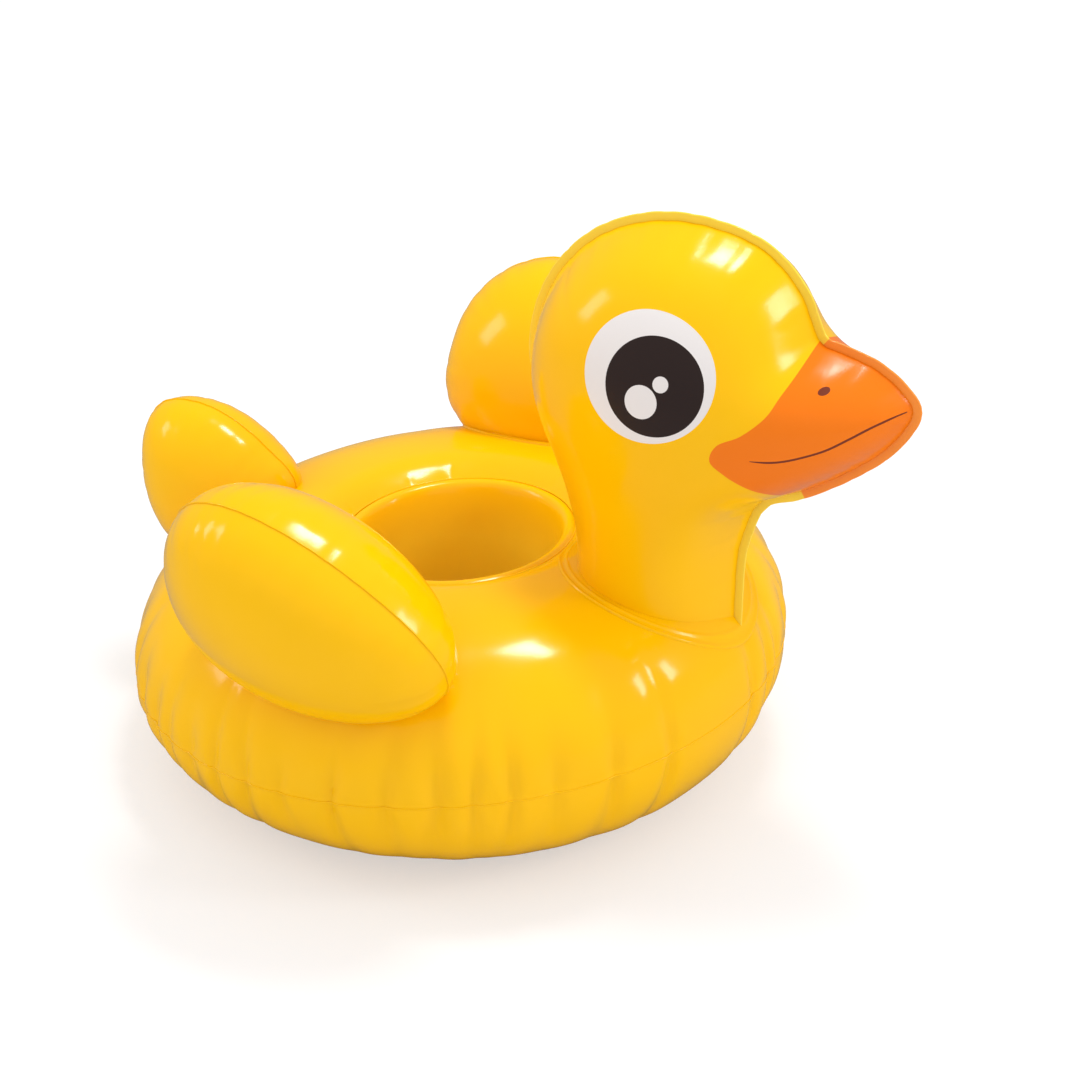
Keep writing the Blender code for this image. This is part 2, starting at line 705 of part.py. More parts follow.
def valve_frame():
    """Axes of the valve on the ring's shoulder: X uphill, Z out of the film."""
    place, normal = on_ring(*VALVE_XY)
    uphill = (Vector((0, 0, 1)) - normal * normal.z).normalized()
    frame = Matrix((uphill, normal.cross(uphill), normal)).transposed().to_4x4()
    frame.translation = place
    return frame


def build():
    top_panel = build_ring()["ring_top_panel"]
    for name, (x, y), radius in (
        ("neck_passage", NECK_ROOT[0], NECK_PASSAGE),
        ("left_wing_passage", WING_ROOT[0], WING_PASSAGE),
        ("right_wing_passage", (WING_ROOT[0][0], -WING_ROOT[0][1]), WING_PASSAGE),
        ("tail_passage", TAIL_ROOT[0], TAIL_PASSAGE),
        ("valve_passage", VALVE_XY, VALVE_PASSAGE),
    ):
        cut(top_panel, passage_cutter(name, x, y, radius))
    back = wing_axes()[0]
    root_collar("neck_root_collar", *NECK_ROOT[0], NECK_ROOT[1], 0, COLLAR_WIDTH)
    root_collar("tail_root_collar", *TAIL_ROOT[0], TAIL_ROOT[1], 0, COLLAR_WIDTH * 0.6)
    build_head(add_empty("neck_hinge", (NECK_ROOT[0][0], 0, NECK_HINGE_HEIGHT)))
    for side, sign in (("left", 1), ("right", -1)):
        x, y = WING_ROOT[0][0], sign * WING_ROOT[0][1]
        turn = math.atan2(-sign * back.y, back.x)
        root_collar(f"{side}_wing_root_collar", x, y, WING_ROOT[1], turn, COLLAR_WIDTH * 0.6)
        build_wing(side, sign, add_empty(f"{side}_wing_hinge", on_ring(x, y)[0]))
    build_tail(add_empty("tail_hinge", on_ring(*TAIL_ROOT[0])[0]))
    build_valve(valve_frame())
    centre_on_floor()


clear_scene()
PARTS = new_collection("inflatable_duck_float")
CUTTERS = new_collection("cutters")
YELLOW = new_material("yellow_vinyl", VINYL_YELLOW, 0.28)
ORANGE = new_material("orange_vinyl", VINYL_ORANGE, 0.30)
WHITE = new_material("white_ink", INK_WHITE, 0.35)
DARK = new_material("dark_ink", INK_DARK, 0.35)
CLEAR = new_material("clear_soft_vinyl", SOFT_CLEAR, 0.25)
CLEARANCE = ring_cutter("root_clearance", ROOT_CLEARANCE)
build()
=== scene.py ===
"""The finished look of an inflatable duck float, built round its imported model.

The float is welded from thin vinyl film, so each panel is grown here as inflated film with its
puckers, weld margins and prints, and moulded valve pieces are turned and bevelled. Metres, +Z up,
+X towards the beak.
"""
import math

import bmesh
import bpy
import numpy as np
from bpy.props import FloatProperty, FloatVectorProperty, PointerProperty
from mathutils import Matrix, Vector
from mathutils.geometry import delaunay_2d_cdt


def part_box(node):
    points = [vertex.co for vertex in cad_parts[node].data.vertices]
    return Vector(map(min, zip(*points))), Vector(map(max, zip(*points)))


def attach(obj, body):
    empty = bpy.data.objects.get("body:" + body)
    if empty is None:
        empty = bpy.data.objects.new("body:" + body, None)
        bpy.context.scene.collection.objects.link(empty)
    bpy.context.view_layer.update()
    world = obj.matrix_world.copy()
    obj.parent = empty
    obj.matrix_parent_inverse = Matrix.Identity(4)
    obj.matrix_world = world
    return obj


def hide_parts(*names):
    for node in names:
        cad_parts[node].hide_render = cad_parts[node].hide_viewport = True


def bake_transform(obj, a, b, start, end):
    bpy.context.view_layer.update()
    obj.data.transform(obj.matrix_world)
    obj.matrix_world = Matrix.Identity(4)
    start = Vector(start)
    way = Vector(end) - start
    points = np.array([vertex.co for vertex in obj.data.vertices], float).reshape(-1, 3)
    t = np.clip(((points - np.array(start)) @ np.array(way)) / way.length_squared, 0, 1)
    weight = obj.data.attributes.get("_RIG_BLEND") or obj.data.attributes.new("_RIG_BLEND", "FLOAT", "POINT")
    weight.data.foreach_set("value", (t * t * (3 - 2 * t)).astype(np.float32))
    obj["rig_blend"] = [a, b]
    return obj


bl_info = {
    "name": "Inflatable Duck Float",
    "version": (1, 0, 0),
    "blender": (4, 5, 0),
    "location": "View3D > Sidebar > Duck Float",
    "description": "Builds the vinyl skins, prints, welds and valve of an inflatable duck float",
    "category": "Add Mesh",
}

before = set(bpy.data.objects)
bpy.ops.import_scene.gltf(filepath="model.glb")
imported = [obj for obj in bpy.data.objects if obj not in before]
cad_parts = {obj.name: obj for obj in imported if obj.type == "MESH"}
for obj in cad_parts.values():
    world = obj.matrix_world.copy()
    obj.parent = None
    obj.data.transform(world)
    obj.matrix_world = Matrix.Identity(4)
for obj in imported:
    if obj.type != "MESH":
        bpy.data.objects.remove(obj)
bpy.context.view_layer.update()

# The ring's own axis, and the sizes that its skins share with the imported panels
RING_LOW, RING_HIGH = (np.array(corner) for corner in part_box("ring_top_panel"))
RING_X = float(RING_LOW[0] + RING_HIGH[0]) / 2
RING_RADIUS = 0.130
SEAM_HEIGHT = 0.045
CREST_HEIGHT = 0.098
CREST_RADIUS = 0.062
GROOVE_RADIUS = 0.0463
GROOVE_HEIGHT = 0.0915
FOOT_OUTER_RADIUS = 0.062
FOOT_INNER_RADIUS = 0.050
FRONT_LIFT = 0.010
ROUNDNESS = 2.2
NECK_ROOT = (0.0875, 0.0)
NECK_RADII = (0.0318, 0.0340)
WING_ROOT = (-0.0040, 0.0905)
WING_RADII = (0.0400, 0.0180)
TAIL_ROOT = (-0.1040, 0.0)
TAIL_RADII = (0.0190, 0.0130)
VALVE_XY = (-0.1130, 0.0400)


# ---- settings a user would change

def length(name, description, default, top=0.1):
    return FloatProperty(name=name, description=description, default=default, min=0.0, max=top,
                         unit="LENGTH", subtype="DISTANCE", precision=5)


def linear(code):
    """An sRGB hex colour as linear red, green and blue."""
    channels = [int(code[i:i + 2], 16) / 255 for i in (0, 2, 4)]
    return tuple(c / 12.92 if c <= 0.04045 else ((c + 0.055) / 1.055) ** 2.4 for c in channels)


def hex_colour(name, description, code):
    return FloatVectorProperty(name=name, description=description, default=linear(code),
                               min=0.0, max=1.0, size=3, subtype="COLOR")


class DuckFilmSizes(bpy.types.PropertyGroup):
    """Sizes of the film, its welds and its puckers"""
    film: length("Film", "Thickness of the vinyl film", 0.0003, 0.002)
    mesh_pitch: length("Mesh pitch", "Spacing of the points of an inflated skin", 0.0018, 0.01)
    head_margin: length("Head margin", "Width of the weld margin round head and neck", 0.0034, 0.01)
    wing_margin: length("Wing margin", "Width of the weld margin round wings and tail", 0.0008, 0.01)
    margin_thickness: length("Margin thickness", "Thickness of two welded films", 0.0006, 0.003)
    seam_bead: length("Seam bead", "Width of the bead along the ring's outer seam", 0.0006, 0.005)
    pucker_depth: length("Pucker depth", "Depth of the creases where they meet the outer seam", 0.0048, 0.008)
    pucker_reach: length("Pucker reach", "How far the creases run up the side of the ring", 0.025, 0.06)
    tuck: length("Tuck", "How far from its seam the head's film is drawn in", 0.0042, 0.02)
    collar_width: length("Collar width", "Width of the weld band round the neck's foot", 0.0060, 0.02)


class DuckColours(bpy.types.PropertyGroup):
    """Colours of the film and the inks"""
    yellow: hex_colour("Yellow", "Yellow vinyl film", "FFC200")
    orange: hex_colour("Orange", "Orange of the beak", "F57A0A")
    # Both weld colours are painted paler than the film: painted light, for the light that comes through the
    # thin welded margin from behind
    yellow_weld: hex_colour("Yellow weld", "Welded margin of yellow film, paler than the film", "FFDC46")
    orange_weld: hex_colour("Orange weld", "Welded margin of orange film, paler than the film", "FF9638")
    white: hex_colour("White", "White ink of the eyes", "E9E3E1")
    dark: hex_colour("Dark", "Dark ink of the pupils", "2C1C19")
    line: hex_colour("Line", "Ink of the mouth line and nostrils", "7A2F10")
    valve: hex_colour("Valve", "Soft translucent vinyl of the valve", "E4E8E6")


class DuckStageSizes(bpy.types.PropertyGroup):
    """Camera and lamps"""
    azimuth: FloatProperty(name="Azimuth", description="Camera direction round the float", default=30.0)
    elevation: FloatProperty(name="Elevation", description="Camera height above the horizon", default=33.4)
    distance: length("Distance", "Camera distance from the ring", 1.075, 10.0)
    lens: FloatProperty(name="Lens", description="Focal length of the camera", default=86.7, unit="CAMERA")
    overhead: FloatProperty(name="Overhead", description="Power of the overhead softbox",
                            default=5.5, unit="POWER")
    windows: FloatProperty(name="Windows", description="Power of the brighter side window",
                           default=3.2, unit="POWER")


# ---- the ring's surface

def quarter(radius_from, radius_to, z_from, z_to, steps):
    """A superellipse quarter from (radius_from, z_from) to (radius_to, z_to)."""
    points = []
    for i in range(steps + 1):
        angle = math.pi / 2 * i / steps
        across = math.cos(angle) ** (2 / ROUNDNESS)
        up = math.sin(angle) ** (2 / ROUNDNESS)
        points.append((radius_to + (radius_from - radius_to) * across, z_from + (z_to - z_from) * up))
    return points


def shoulder_height(radius):
    """Height of the ring's upper surface at a radius, before the front is lifted."""
    if radius < CREST_RADIUS:
        down = (CREST_RADIUS - radius) / (CREST_RADIUS - GROOVE_RADIUS)
        return CREST_HEIGHT - (CREST_HEIGHT - GROOVE_HEIGHT) * down ** 2
    across = min((radius - CREST_RADIUS) / (RING_RADIUS - CREST_RADIUS), 1)
    return SEAM_HEIGHT + (CREST_HEIGHT - SEAM_HEIGHT) * (1 - across ** ROUNDNESS) ** (1 / ROUNDNESS)


def lift(x, z):
    """The front of the body is fuller than the back: everything above the floor rises with x."""
    return z + FRONT_LIFT * x / RING_RADIUS * min(1, max(0, z / SEAM_HEIGHT))


def on_ring(x, y, above=0.0):
    """The point on the ring's upper surface over (x, y) from its axis, moved out along the normal."""
    step = 1e-4

    def height(px, py):
        return lift(px, shoulder_height(math.hypot(px, py)))

    slope_x = (height(x + step, y) - height(x - step, y)) / (2 * step)
    slope_y = (height(x, y + step) - height(x, y - step)) / (2 * step)
    normal = Vector((-slope_x, -slope_y, 1)).normalized()
    return Vector((x + RING_X, y, height(x, y))) + normal * above, normal


def even_points(profile, pitch):
    """The profile resampled at an even pitch."""
    profile = np.array(profile)
    steps = np.linalg.norm(np.diff(profile, axis=0), axis=1)
    along = np.concatenate([[0], np.cumsum(steps)])
    wanted = np.linspace(0, along[-1], max(2, round(along[-1] / pitch)) + 1)
    return np.stack([np.interp(wanted, along, profile[:, i]) for i in (0, 1)], axis=1)


# ---- puckers

# Least and greatest share of its nominal value that one crease has
PITCH_SPREAD, DEPTH_SPREAD = (0.62, 1.45), (0.45, 1.0)
REACH_SPREAD, WIDTH_SPREAD, LEAN_SPREAD = (0.55, 1.25), (0.75, 1.35), (-0.12, 0.12)
CREASE_POWER, FADE_POWER, WIDENING = 1.5, 1.6, 1.1
SWELL_SHARE, SWELL_WIDTH = 0.30, 2.6


class Puckers:
    """Creases at uneven places along a closed seam, each with its own depth, width and reach."""

    def __init__(self, seam_length, pitch, depth, reach, width, seed, firsts=()):
        draw = np.random.RandomState(seed)
        places = list(firsts)
        place = max(firsts, default=0.0) + pitch
        while place < seam_length + min(firsts, default=0.0) - 0.5 * pitch:
            places.append(place)
            place += pitch * draw.uniform(*PITCH_SPREAD)
        self.places = np.array(places)
        self.depths = depth * draw.uniform(*DEPTH_SPREAD, len(places))
        self.reaches = reach * draw.uniform(*REACH_SPREAD, len(places))
        self.widths = width * draw.uniform(*WIDTH_SPREAD, len(places))
        self.leans = draw.uniform(*LEAN_SPREAD, len(places))
        self.length = seam_length

    def depth_at(self, along, away):
        """How far the film is drawn in, at a distance along the seam and a distance away from it."""
        total = np.zeros(np.broadcast(along, away).shape)
        for place, depth, reach, width, lean in zip(
                self.places, self.depths, self.reaches, self.widths, self.leans):
            off = along - place - lean * away
            off = (off + self.length / 2) % self.length - self.length / 2
            spread = width * (1 + WIDENING * np.abs(away) / reach)
            fade = np.exp(-(np.abs(away) / reach) ** FADE_POWER)
            swell = SWELL_SHARE * np.exp(-(off / (SWELL_WIDTH * spread)) ** 2)
            crease = np.exp(-(np.abs(off) / spread) ** CREASE_POWER) - swell
            total += depth * crease * fade
        return total


# ---- mesh helpers

SHARP_ANGLE = math.radians(55)
BEVEL_ANGLE = math.radians(35)


def linked(name, data):
    """A new object in the scene."""
    obj = bpy.data.objects.new(name, data)
    bpy.context.scene.collection.objects.link(obj)
    return obj


def new_object(name, mesh, materials=()):
    """An object with smooth shading up to the sharp angle."""
    obj = linked(name, mesh)
    mesh.materials.clear()
    for material in materials:
        mesh.materials.append(material)
    mesh.shade_smooth()
    mesh.set_sharp_from_angle(angle=SHARP_ANGLE)
    return obj


def face_outwards(mesh, weld=1e-7):
    work = bmesh.new()
    work.from_mesh(mesh)
    bmesh.ops.remove_doubles(work, verts=work.verts, dist=weld)
    bmesh.ops.recalc_face_normals(work, faces=work.faces)
    work.to_mesh(mesh)
    work.free()
    return mesh


def applied(obj):
    """The evaluated mesh of an object, which is removed."""
    bpy.context.view_layer.update()
    evaluated = obj.evaluated_get(bpy.context.evaluated_depsgraph_get())
    mesh = bpy.data.meshes.new_from_object(evaluated)
    mesh.transform(obj.matrix_world)
    bpy.data.objects.remove(obj)
    return mesh


def grid_shell(name, rows, wall):
    """A closed film from a grid of points (rows, columns, 3), its wall grown inwards."""
    count, columns = rows.shape[:2]
    across = np.roll(rows, -1, axis=1) - np.roll(rows, 1, axis=1)
    down = np.gradient(rows, axis=0)
    normals = np.cross(across, down)
    normals /= np.maximum(np.linalg.norm(normals, axis=2, keepdims=True), 1e-12)
    inner = rows - normals * wall
    points = np.concatenate([rows.reshape(-1, 3), inner.reshape(-1, 3)])
    layer = count * columns
    index = np.arange(layer).reshape(count, columns)
    right = np.roll(index, -1, axis=1)
    outer = np.stack([index[:-1], index[1:], right[1:], right[:-1]], axis=-1).reshape(-1, 4)
    faces = [outer, outer[:, ::-1] + layer]
    for edge, turn in ((0, 1), (-1, -1)):
        rim = np.stack([index[edge], right[edge], right[edge] + layer, index[edge] + layer], axis=-1)
        faces.append(rim[:, ::turn])
    mesh = bpy.data.meshes.new(name)
    mesh.from_pydata(points.tolist(), [], np.concatenate(faces).tolist())
    return face_outwards(mesh)


def turned(name, profile, segments=64, bevel=0.0):
    """A closed (r, z) profile turned about Z, with its edges rounded."""
    mesh = bpy.data.meshes.new(name)
    count = len(profile)
    mesh.from_pydata([(r, 0, z) for r, z in profile], [(i, (i + 1) % count) for i in range(count)], [])
    obj = linked(name, mesh)
    screw = obj.modifiers.new("turn", "SCREW")
    screw.steps = screw.render_steps = segments
    screw.use_merge_vertices = True
    screw.merge_threshold = 1e-6
    if bevel:
        rounding = obj.modifiers.new("round", "BEVEL")
        rounding.width = bevel
        rounding.segments = 3
        rounding.limit_method = "ANGLE"
        rounding.angle_limit = BEVEL_ANGLE
    return face_outwards(applied(obj))


def trimmed(obj, cutter):
    """Cuts the object by a closed solid and applies the cut."""
    name, materials = obj.name, list(obj.data.materials)
    cut = obj.modifiers.new("trim", "BOOLEAN")
    cut.operation = "DIFFERENCE"
    cut.solver = "MANIFOLD"
    cut.object = cutter
    mesh = applied(obj)
    mesh.name = name
    return new_object(name, mesh, materials)


# ---- inflated two-sided pieces

def smooth_curve(points, spacing, closed=True):
    """A Catmull-Rom curve through the points, sampled at about this spacing."""
    points = [np.array(p, float) for p in points]
    count = len(points)
    result = []
    for i in range(count if closed else count - 1):
        before, start, end, after = (
            points[j % count] if closed else points[min(max(j, 0), count - 1)]
            for j in (i - 1, i, i + 1, i + 2)
        )
        steps = max(1, round(float(np.linalg.norm(end - start)) / spacing))
        for k in range(steps):
            t = k / steps
            result.append(0.5 * (
                2 * start + (end - before) * t
                + (2 * before - 5 * start + 4 * end - after) * t ** 2
                + (3 * start - before - 3 * end + after) * t ** 3
            ))
    if not closed:
        result.append(points[-1])
    return np.array(result)


def ellipse(centre, radii, spacing):
    count = max(12, round(math.pi * (radii[0] + radii[1]) / spacing))
    angles = 2 * np.pi * np.arange(count) / count
    return np.stack([centre[0] + radii[0] * np.cos(angles), centre[1] + radii[1] * np.sin(angles)], axis=1)


def inside(points, outline):
    """Which of the points lie inside the closed outline."""
    result = np.zeros(len(points), bool)
    for a, b in zip(outline, np.roll(outline, -1, axis=0)):
        crosses = (a[1] > points[:, 1]) != (b[1] > points[:, 1])
        rise = b[1] - a[1] if b[1] != a[1] else 1e-12
        result ^= crosses & (points[:, 0] < (b[0] - a[0]) * (points[:, 1] - a[1]) / rise + a[0])
    return result


def nearest(points, line, batch=4000):
    """Distance from each point to the nearest point of the line, and which one that is."""
    away, which = [], []
    for first in range(0, len(points), batch):
        gap = ((points[first:first + batch, None, :] - line[None, :, :]) ** 2).sum(axis=2)
        which.append(gap.argmin(axis=1))
        away.append(np.sqrt(gap.min(axis=1)))
    return np.concatenate(away), np.concatenate(which)


# Depths of the point rows along an outline, and least gaps, as shares of the mesh pitch
EDGE_ROWS, ROW_GAP, GRID_GAP, LINE_GAP = (0.28, 0.75, 1.35), 0.85, 1.9, 0.5
ROW_HEIGHT = 0.866


def triangulated(outline, lines, pitch):
    """A Delaunay mesh of the outline that follows the lines on it and is finer along its edge."""
    points, edges = [], []
    for loop, ring in [(outline, True)] + lines:
        first = len(points)
        points += [Vector(p) for p in loop]
        edges += [(first + i, first + i + 1) for i in range(len(loop) - 1)]
        if ring:
            edges.append((first + len(loop) - 1, first))
    drawn = np.array([tuple(p) for p in points])
    ahead = np.roll(outline, -1, axis=0) - np.roll(outline, 1, axis=0)
    inward = np.stack([-ahead[:, 1], ahead[:, 0]], axis=1)
    inward /= np.linalg.norm(inward, axis=1, keepdims=True)
    if not inside(outline[:1] + inward[:1] * pitch * 0.2, outline)[0]:
        inward = -inward
    low, high = outline.min(axis=0), outline.max(axis=0)
    rows = int((high[1] - low[1]) / (pitch * ROW_HEIGHT)) + 1
    columns = int((high[0] - low[0]) / pitch) + 2
    row, column = np.mgrid[0:rows, 0:columns]
    grid = np.stack([low[0] + pitch * (column + 0.5 * (row % 2)),
                     low[1] + pitch * ROW_HEIGHT * (row + 0.5)], axis=-1).reshape(-1, 2)
    grid = grid[inside(grid, outline)]
    kept = []
    for depth in EDGE_ROWS:
        ring = outline + inward * pitch * depth
        ring = ring[inside(ring, outline)]
        away, _ = nearest(ring, outline)
        kept.append(ring[away > ROW_GAP * depth * pitch])
    away, _ = nearest(grid, outline)
    kept.append(grid[away > GRID_GAP * pitch])
    extra = np.concatenate(kept)
    away, _ = nearest(extra, drawn[len(outline):]) if len(drawn) > len(outline) else (np.ones(len(extra)), 0)
    points += [Vector(p) for p in extra[away > LINE_GAP * pitch]]
    flat, _, faces, *_ = delaunay_2d_cdt(points, edges, [], 0, 1e-7)
    flat = np.array([tuple(p) for p in flat])
    faces = np.array([tuple(f) for f in faces if len(f) == 3])
    return flat, faces[inside(flat[faces].mean(axis=1), outline)]


def boundary_of(faces):
    """The open edges of a set of triangles, in the direction of their face."""
    ends = np.concatenate([faces[:, [0, 1]], faces[:, [1, 2]], faces[:, [2, 0]]])
    seen = {(int(a), int(b)) for a, b in ends}
    return [(a, b) for a, b in seen if (b, a) not in seen]


SOLVER_GOAL, SOLVER_STEPS = 1e-9, 3000


def inflated(flat, faces, is_open=None):
    """Half thickness at each point of a flat film held along its edge and blown up.

    It solves for the deflection of a membrane under pressure, u, by conjugate gradients, and takes
    sqrt(2u), which makes a long strip a round tube. Edge points where is_open is true are free.
    """
    corners = flat[faces]
    sides = np.stack([corners[:, 2] - corners[:, 1], corners[:, 0] - corners[:, 2],
                      corners[:, 1] - corners[:, 0]], axis=1)
    area = np.maximum(0.5 * np.abs(sides[:, 0, 0] * sides[:, 1, 1] - sides[:, 0, 1] * sides[:, 1, 0]), 1e-13)
    count = len(flat)
    load = np.bincount(faces.ravel(), np.repeat(area / 3, 3), count)
    row = np.repeat(faces, 3, axis=1).ravel()
    column = np.tile(faces, (1, 3)).ravel()
    value = (np.einsum("nik,njk->nij", sides, sides) / (4 * area)[:, None, None]).ravel()
    free = np.zeros(count, bool)
    free[faces.ravel()] = True
    for edge in boundary_of(faces):
        for end in edge:
            if not (is_open and is_open(flat[end])):
                free[end] = False
    diagonal = np.maximum(np.bincount(row[row == column], value[row == column], count), 1e-9)

    def stretched(x):
        return np.where(free, np.bincount(row, value * x[column], count), 0)

    deflection = np.zeros(count)
    left = np.where(free, load, 0)
    step = left / diagonal
    push = left @ step
    goal = SOLVER_GOAL * push
    for _ in range(SOLVER_STEPS):
        pulled = stretched(step)
        size = push / (step @ pulled)
        deflection += size * step
        left = left - size * pulled
        eased = left / diagonal
        now = left @ eased
        if now < goal:
            break
        step = eased + now / push * step
        push = now
    return np.sqrt(2 * np.maximum(deflection, 0))


def vertex_normals(points, faces):
    corners = points[faces]
    face_normals = np.cross(corners[:, 1] - corners[:, 0], corners[:, 2] - corners[:, 0])
    normals = np.stack([np.bincount(faces.ravel(), np.repeat(face_normals[:, i], 3), len(points))
                        for i in range(3)], axis=1)
    return normals / np.maximum(np.linalg.norm(normals, axis=1, keepdims=True), 1e-15)


# The creases start this far from the weld, and draw the outline in by a share of their depth
CREASE_START = 0.0022
PULL_SHARE, PULL_REACH = 0.35, 0.004
TUCK_SHARE = 0.75


def puckered(flat, height, outline, puckers, tuck=0.0):
    """The in-plane place and the height of the film once its seam has drawn it into creases.

    The two films leave the weld at an angle, within about the tuck distance of the seam."""
    steps = np.linalg.norm(np.roll(outline, -1, axis=0) - outline, axis=1)
    along = np.concatenate([[0], np.cumsum(steps)[:-1]])
    away, which = nearest(flat, outline)
    drawn = puckers.depth_at(along[which], away)
    rise = 1 - np.exp(-away / CREASE_START)
    if tuck:
        height = height * (1 - TUCK_SHARE * np.exp(-away / tuck))
    centre = outline.mean(axis=0)
    inward = centre - flat
    inward /= np.maximum(np.linalg.norm(inward, axis=1, keepdims=True), 1e-9)
    pull = PULL_SHARE * drawn * np.exp(-away / PULL_REACH)
    return flat + inward * pull[:, None], np.maximum(height - drawn * rise, 0)


# Half the gap between two films at their seam
SEAM_GAP = 0.00008


class Film:
    """One side of an inflated piece in its own plane: u, v along the plane and the height off it."""

    def __init__(self, flat, height, faces, place, wall):
        points = np.column_stack([flat, height])
        normals = vertex_normals(points, faces)
        inner = points - normals * wall
        inner[:, 2] = np.maximum(inner[:, 2], 0)
        self.outer = points + [0, 0, SEAM_GAP]
        self.inner = inner + [0, 0, SEAM_GAP]
        self.faces = faces
        self.place = place

    def panel(self, name, keep):
        """The chosen faces as a closed shell."""
        faces = self.faces[keep]
        count = len(self.outer)
        sides = []
        for a, b in boundary_of(faces):
            sides += [(b, a, a + count), (b, a + count, b + count)]
        shell = np.concatenate([faces, faces[:, ::-1] + count, np.array(sides)])
        used, index = np.unique(shell, return_inverse=True)
        points = self.place(np.concatenate([self.outer, self.inner])[used])
        mesh = bpy.data.meshes.new(name)
        mesh.from_pydata(points.tolist(), [], index.reshape(-1, 3).tolist())
        return face_outwards(mesh, 1e-9)


# ---- materials

def add_node(tree, kind, settings=None, inputs=None):
    """Adds a node, sets its own settings, and fills or links its inputs."""
    node = tree.nodes.new(kind)
    for name, value in (settings or {}).items():
        setattr(node, name, value)
    for name, value in (inputs or {}).items():
        if isinstance(value, bpy.types.NodeSocket):
            tree.links.new(value, node.inputs[name])
        else:
            node.inputs[name].default_value = value
    return node


def emptied_tree(owner):
    """The node tree of a material or a world, with nothing in it."""
    owner.use_nodes = True
    owner.node_tree.nodes.clear()
    return owner.node_tree


def finish_material(name, base, *bumps):
    """A Principled material with noise bumps, each a scale, detail, strength and distance."""
    material = bpy.data.materials.new(name)
    tree = emptied_tree(material)
    output = add_node(tree, "ShaderNodeOutputMaterial")
    shader = add_node(tree, "ShaderNodeBsdfPrincipled", inputs=base)
    tree.links.new(shader.outputs["BSDF"], output.inputs["Surface"])
    place = add_node(tree, "ShaderNodeTexCoord").outputs["Object"]
    normal = {}
    for scale, detail, strength, distance in bumps:
        noise = add_node(tree, "ShaderNodeTexNoise", inputs={
            "Vector": place, "Scale": scale, "Detail": detail})
        bump = add_node(tree, "ShaderNodeBump", inputs={
            "Height": noise.outputs["Fac"], "Strength": strength, "Distance": distance, **normal})
        normal = {"Normal": bump.outputs["Normal"]}
    tree.links.new(normal["Normal"], shader.inputs["Normal"])
    return material, tree, shader, place


def mixed_colour(tree, factor, low, high):
    """A colour between two, each a socket or linear red, green and blue."""
    node = add_node(tree, "ShaderNodeMix", {"data_type": "RGBA"}, {"Factor": factor})
    for index, colour in ((6, low), (7, high)):
        if isinstance(colour, bpy.types.NodeSocket):
            tree.links.new(colour, node.inputs[index])
        else:
            node.inputs[index].default_value = (*colour, 1)
    return node.outputs[2]


# Painted light: colour of the well's film where light comes through it from inside, painted in from this
# height over this depth
WELL_PAINTED_GLOW = linear("FFD430")
WELL_PAINTED_GLOW_TOP, WELL_PAINTED_GLOW_DEPTH = CREST_HEIGHT - 0.008, 0.022
CLOUD_SHADE = 0.955
GLOSS_LESS, GLOSS_MORE = 0.04, 0.05
# Calendering leaves a very fine tooth, and the stretched film has waves of a centimetre or two
FILM_TOOTH, FILM_WAVE = (900.0, 2.0, 0.25, 0.00005), (38.0, 1.0, 0.4, 0.0006)
INK_TOOTH = (700.0, 2.0, 0.25, 0.00005)
SATIN_SKIN = (1200.0, 2.0, 0.3, 0.00006)


def film(name, colour, roughness, paints_glow=False):
    """Calendered vinyl film: a wet gloss, a faint cloudiness in its colour, and a surface that is
    never quite flat, so that highlights have soft and slightly uneven edges. In the well, painted
    light makes the film paler with depth, for the light that comes through the hollow ring."""
    material, tree, shader, place = finish_material(
        name, {"IOR": 1.53, "Specular IOR Level": 0.36}, FILM_TOOTH, FILM_WAVE)
    cloud = add_node(tree, "ShaderNodeTexNoise", inputs={"Vector": place, "Scale": 45.0, "Detail": 3.0})
    deep = tuple(c * CLOUD_SHADE for c in colour)
    tint = mixed_colour(tree, cloud.outputs["Fac"], deep, colour)
    if paints_glow:
        # Painted light: the base colour turns paler with depth in the well, for light coming through the film
        height = add_node(tree, "ShaderNodeSeparateXYZ", inputs={"Vector": place}).outputs["Z"]
        share = add_node(tree, "ShaderNodeMapRange", inputs={
            "Value": height, "From Min": WELL_PAINTED_GLOW_TOP, "From Max": WELL_PAINTED_GLOW_TOP - WELL_PAINTED_GLOW_DEPTH})
        tint = mixed_colour(tree, share.outputs["Result"], tint, WELL_PAINTED_GLOW)
    tree.links.new(tint, shader.inputs["Base Color"])
    # Handling dulls the gloss unevenly
    wear = add_node(tree, "ShaderNodeTexNoise", inputs={"Vector": place, "Scale": 90.0, "Detail": 4.0})
    gloss = add_node(tree, "ShaderNodeMapRange", inputs={
        "Value": wear.outputs["Fac"], "To Min": roughness - GLOSS_LESS, "To Max": roughness + GLOSS_MORE})
    tree.links.new(gloss.outputs["Result"], shader.inputs["Roughness"])
    return material


def ink(name, colour):
    """Screen ink under the gloss of the film: flat, even colour with a slightly duller sheen."""
    return finish_material(name, {"IOR": 1.50, "Roughness": 0.30, "Base Color": (*colour, 1)}, INK_TOOTH)[0]


def soft_moulding(name, colour):
    """Soft clear moulding: milky, with light inside it, and a moulded satin skin."""
    return finish_material(name, {
        "IOR": 1.52, "Roughness": 0.34, "Base Color": (*colour, 1), "Transmission Weight": 0.45,
        "Subsurface Weight": 0.3, "Subsurface Radius": (1.0, 1.0, 1.0), "Subsurface Scale": 0.002},
        SATIN_SKIN)[0]


YELLOW_ROUGHNESS, ORANGE_ROUGHNESS = 0.15, 0.17
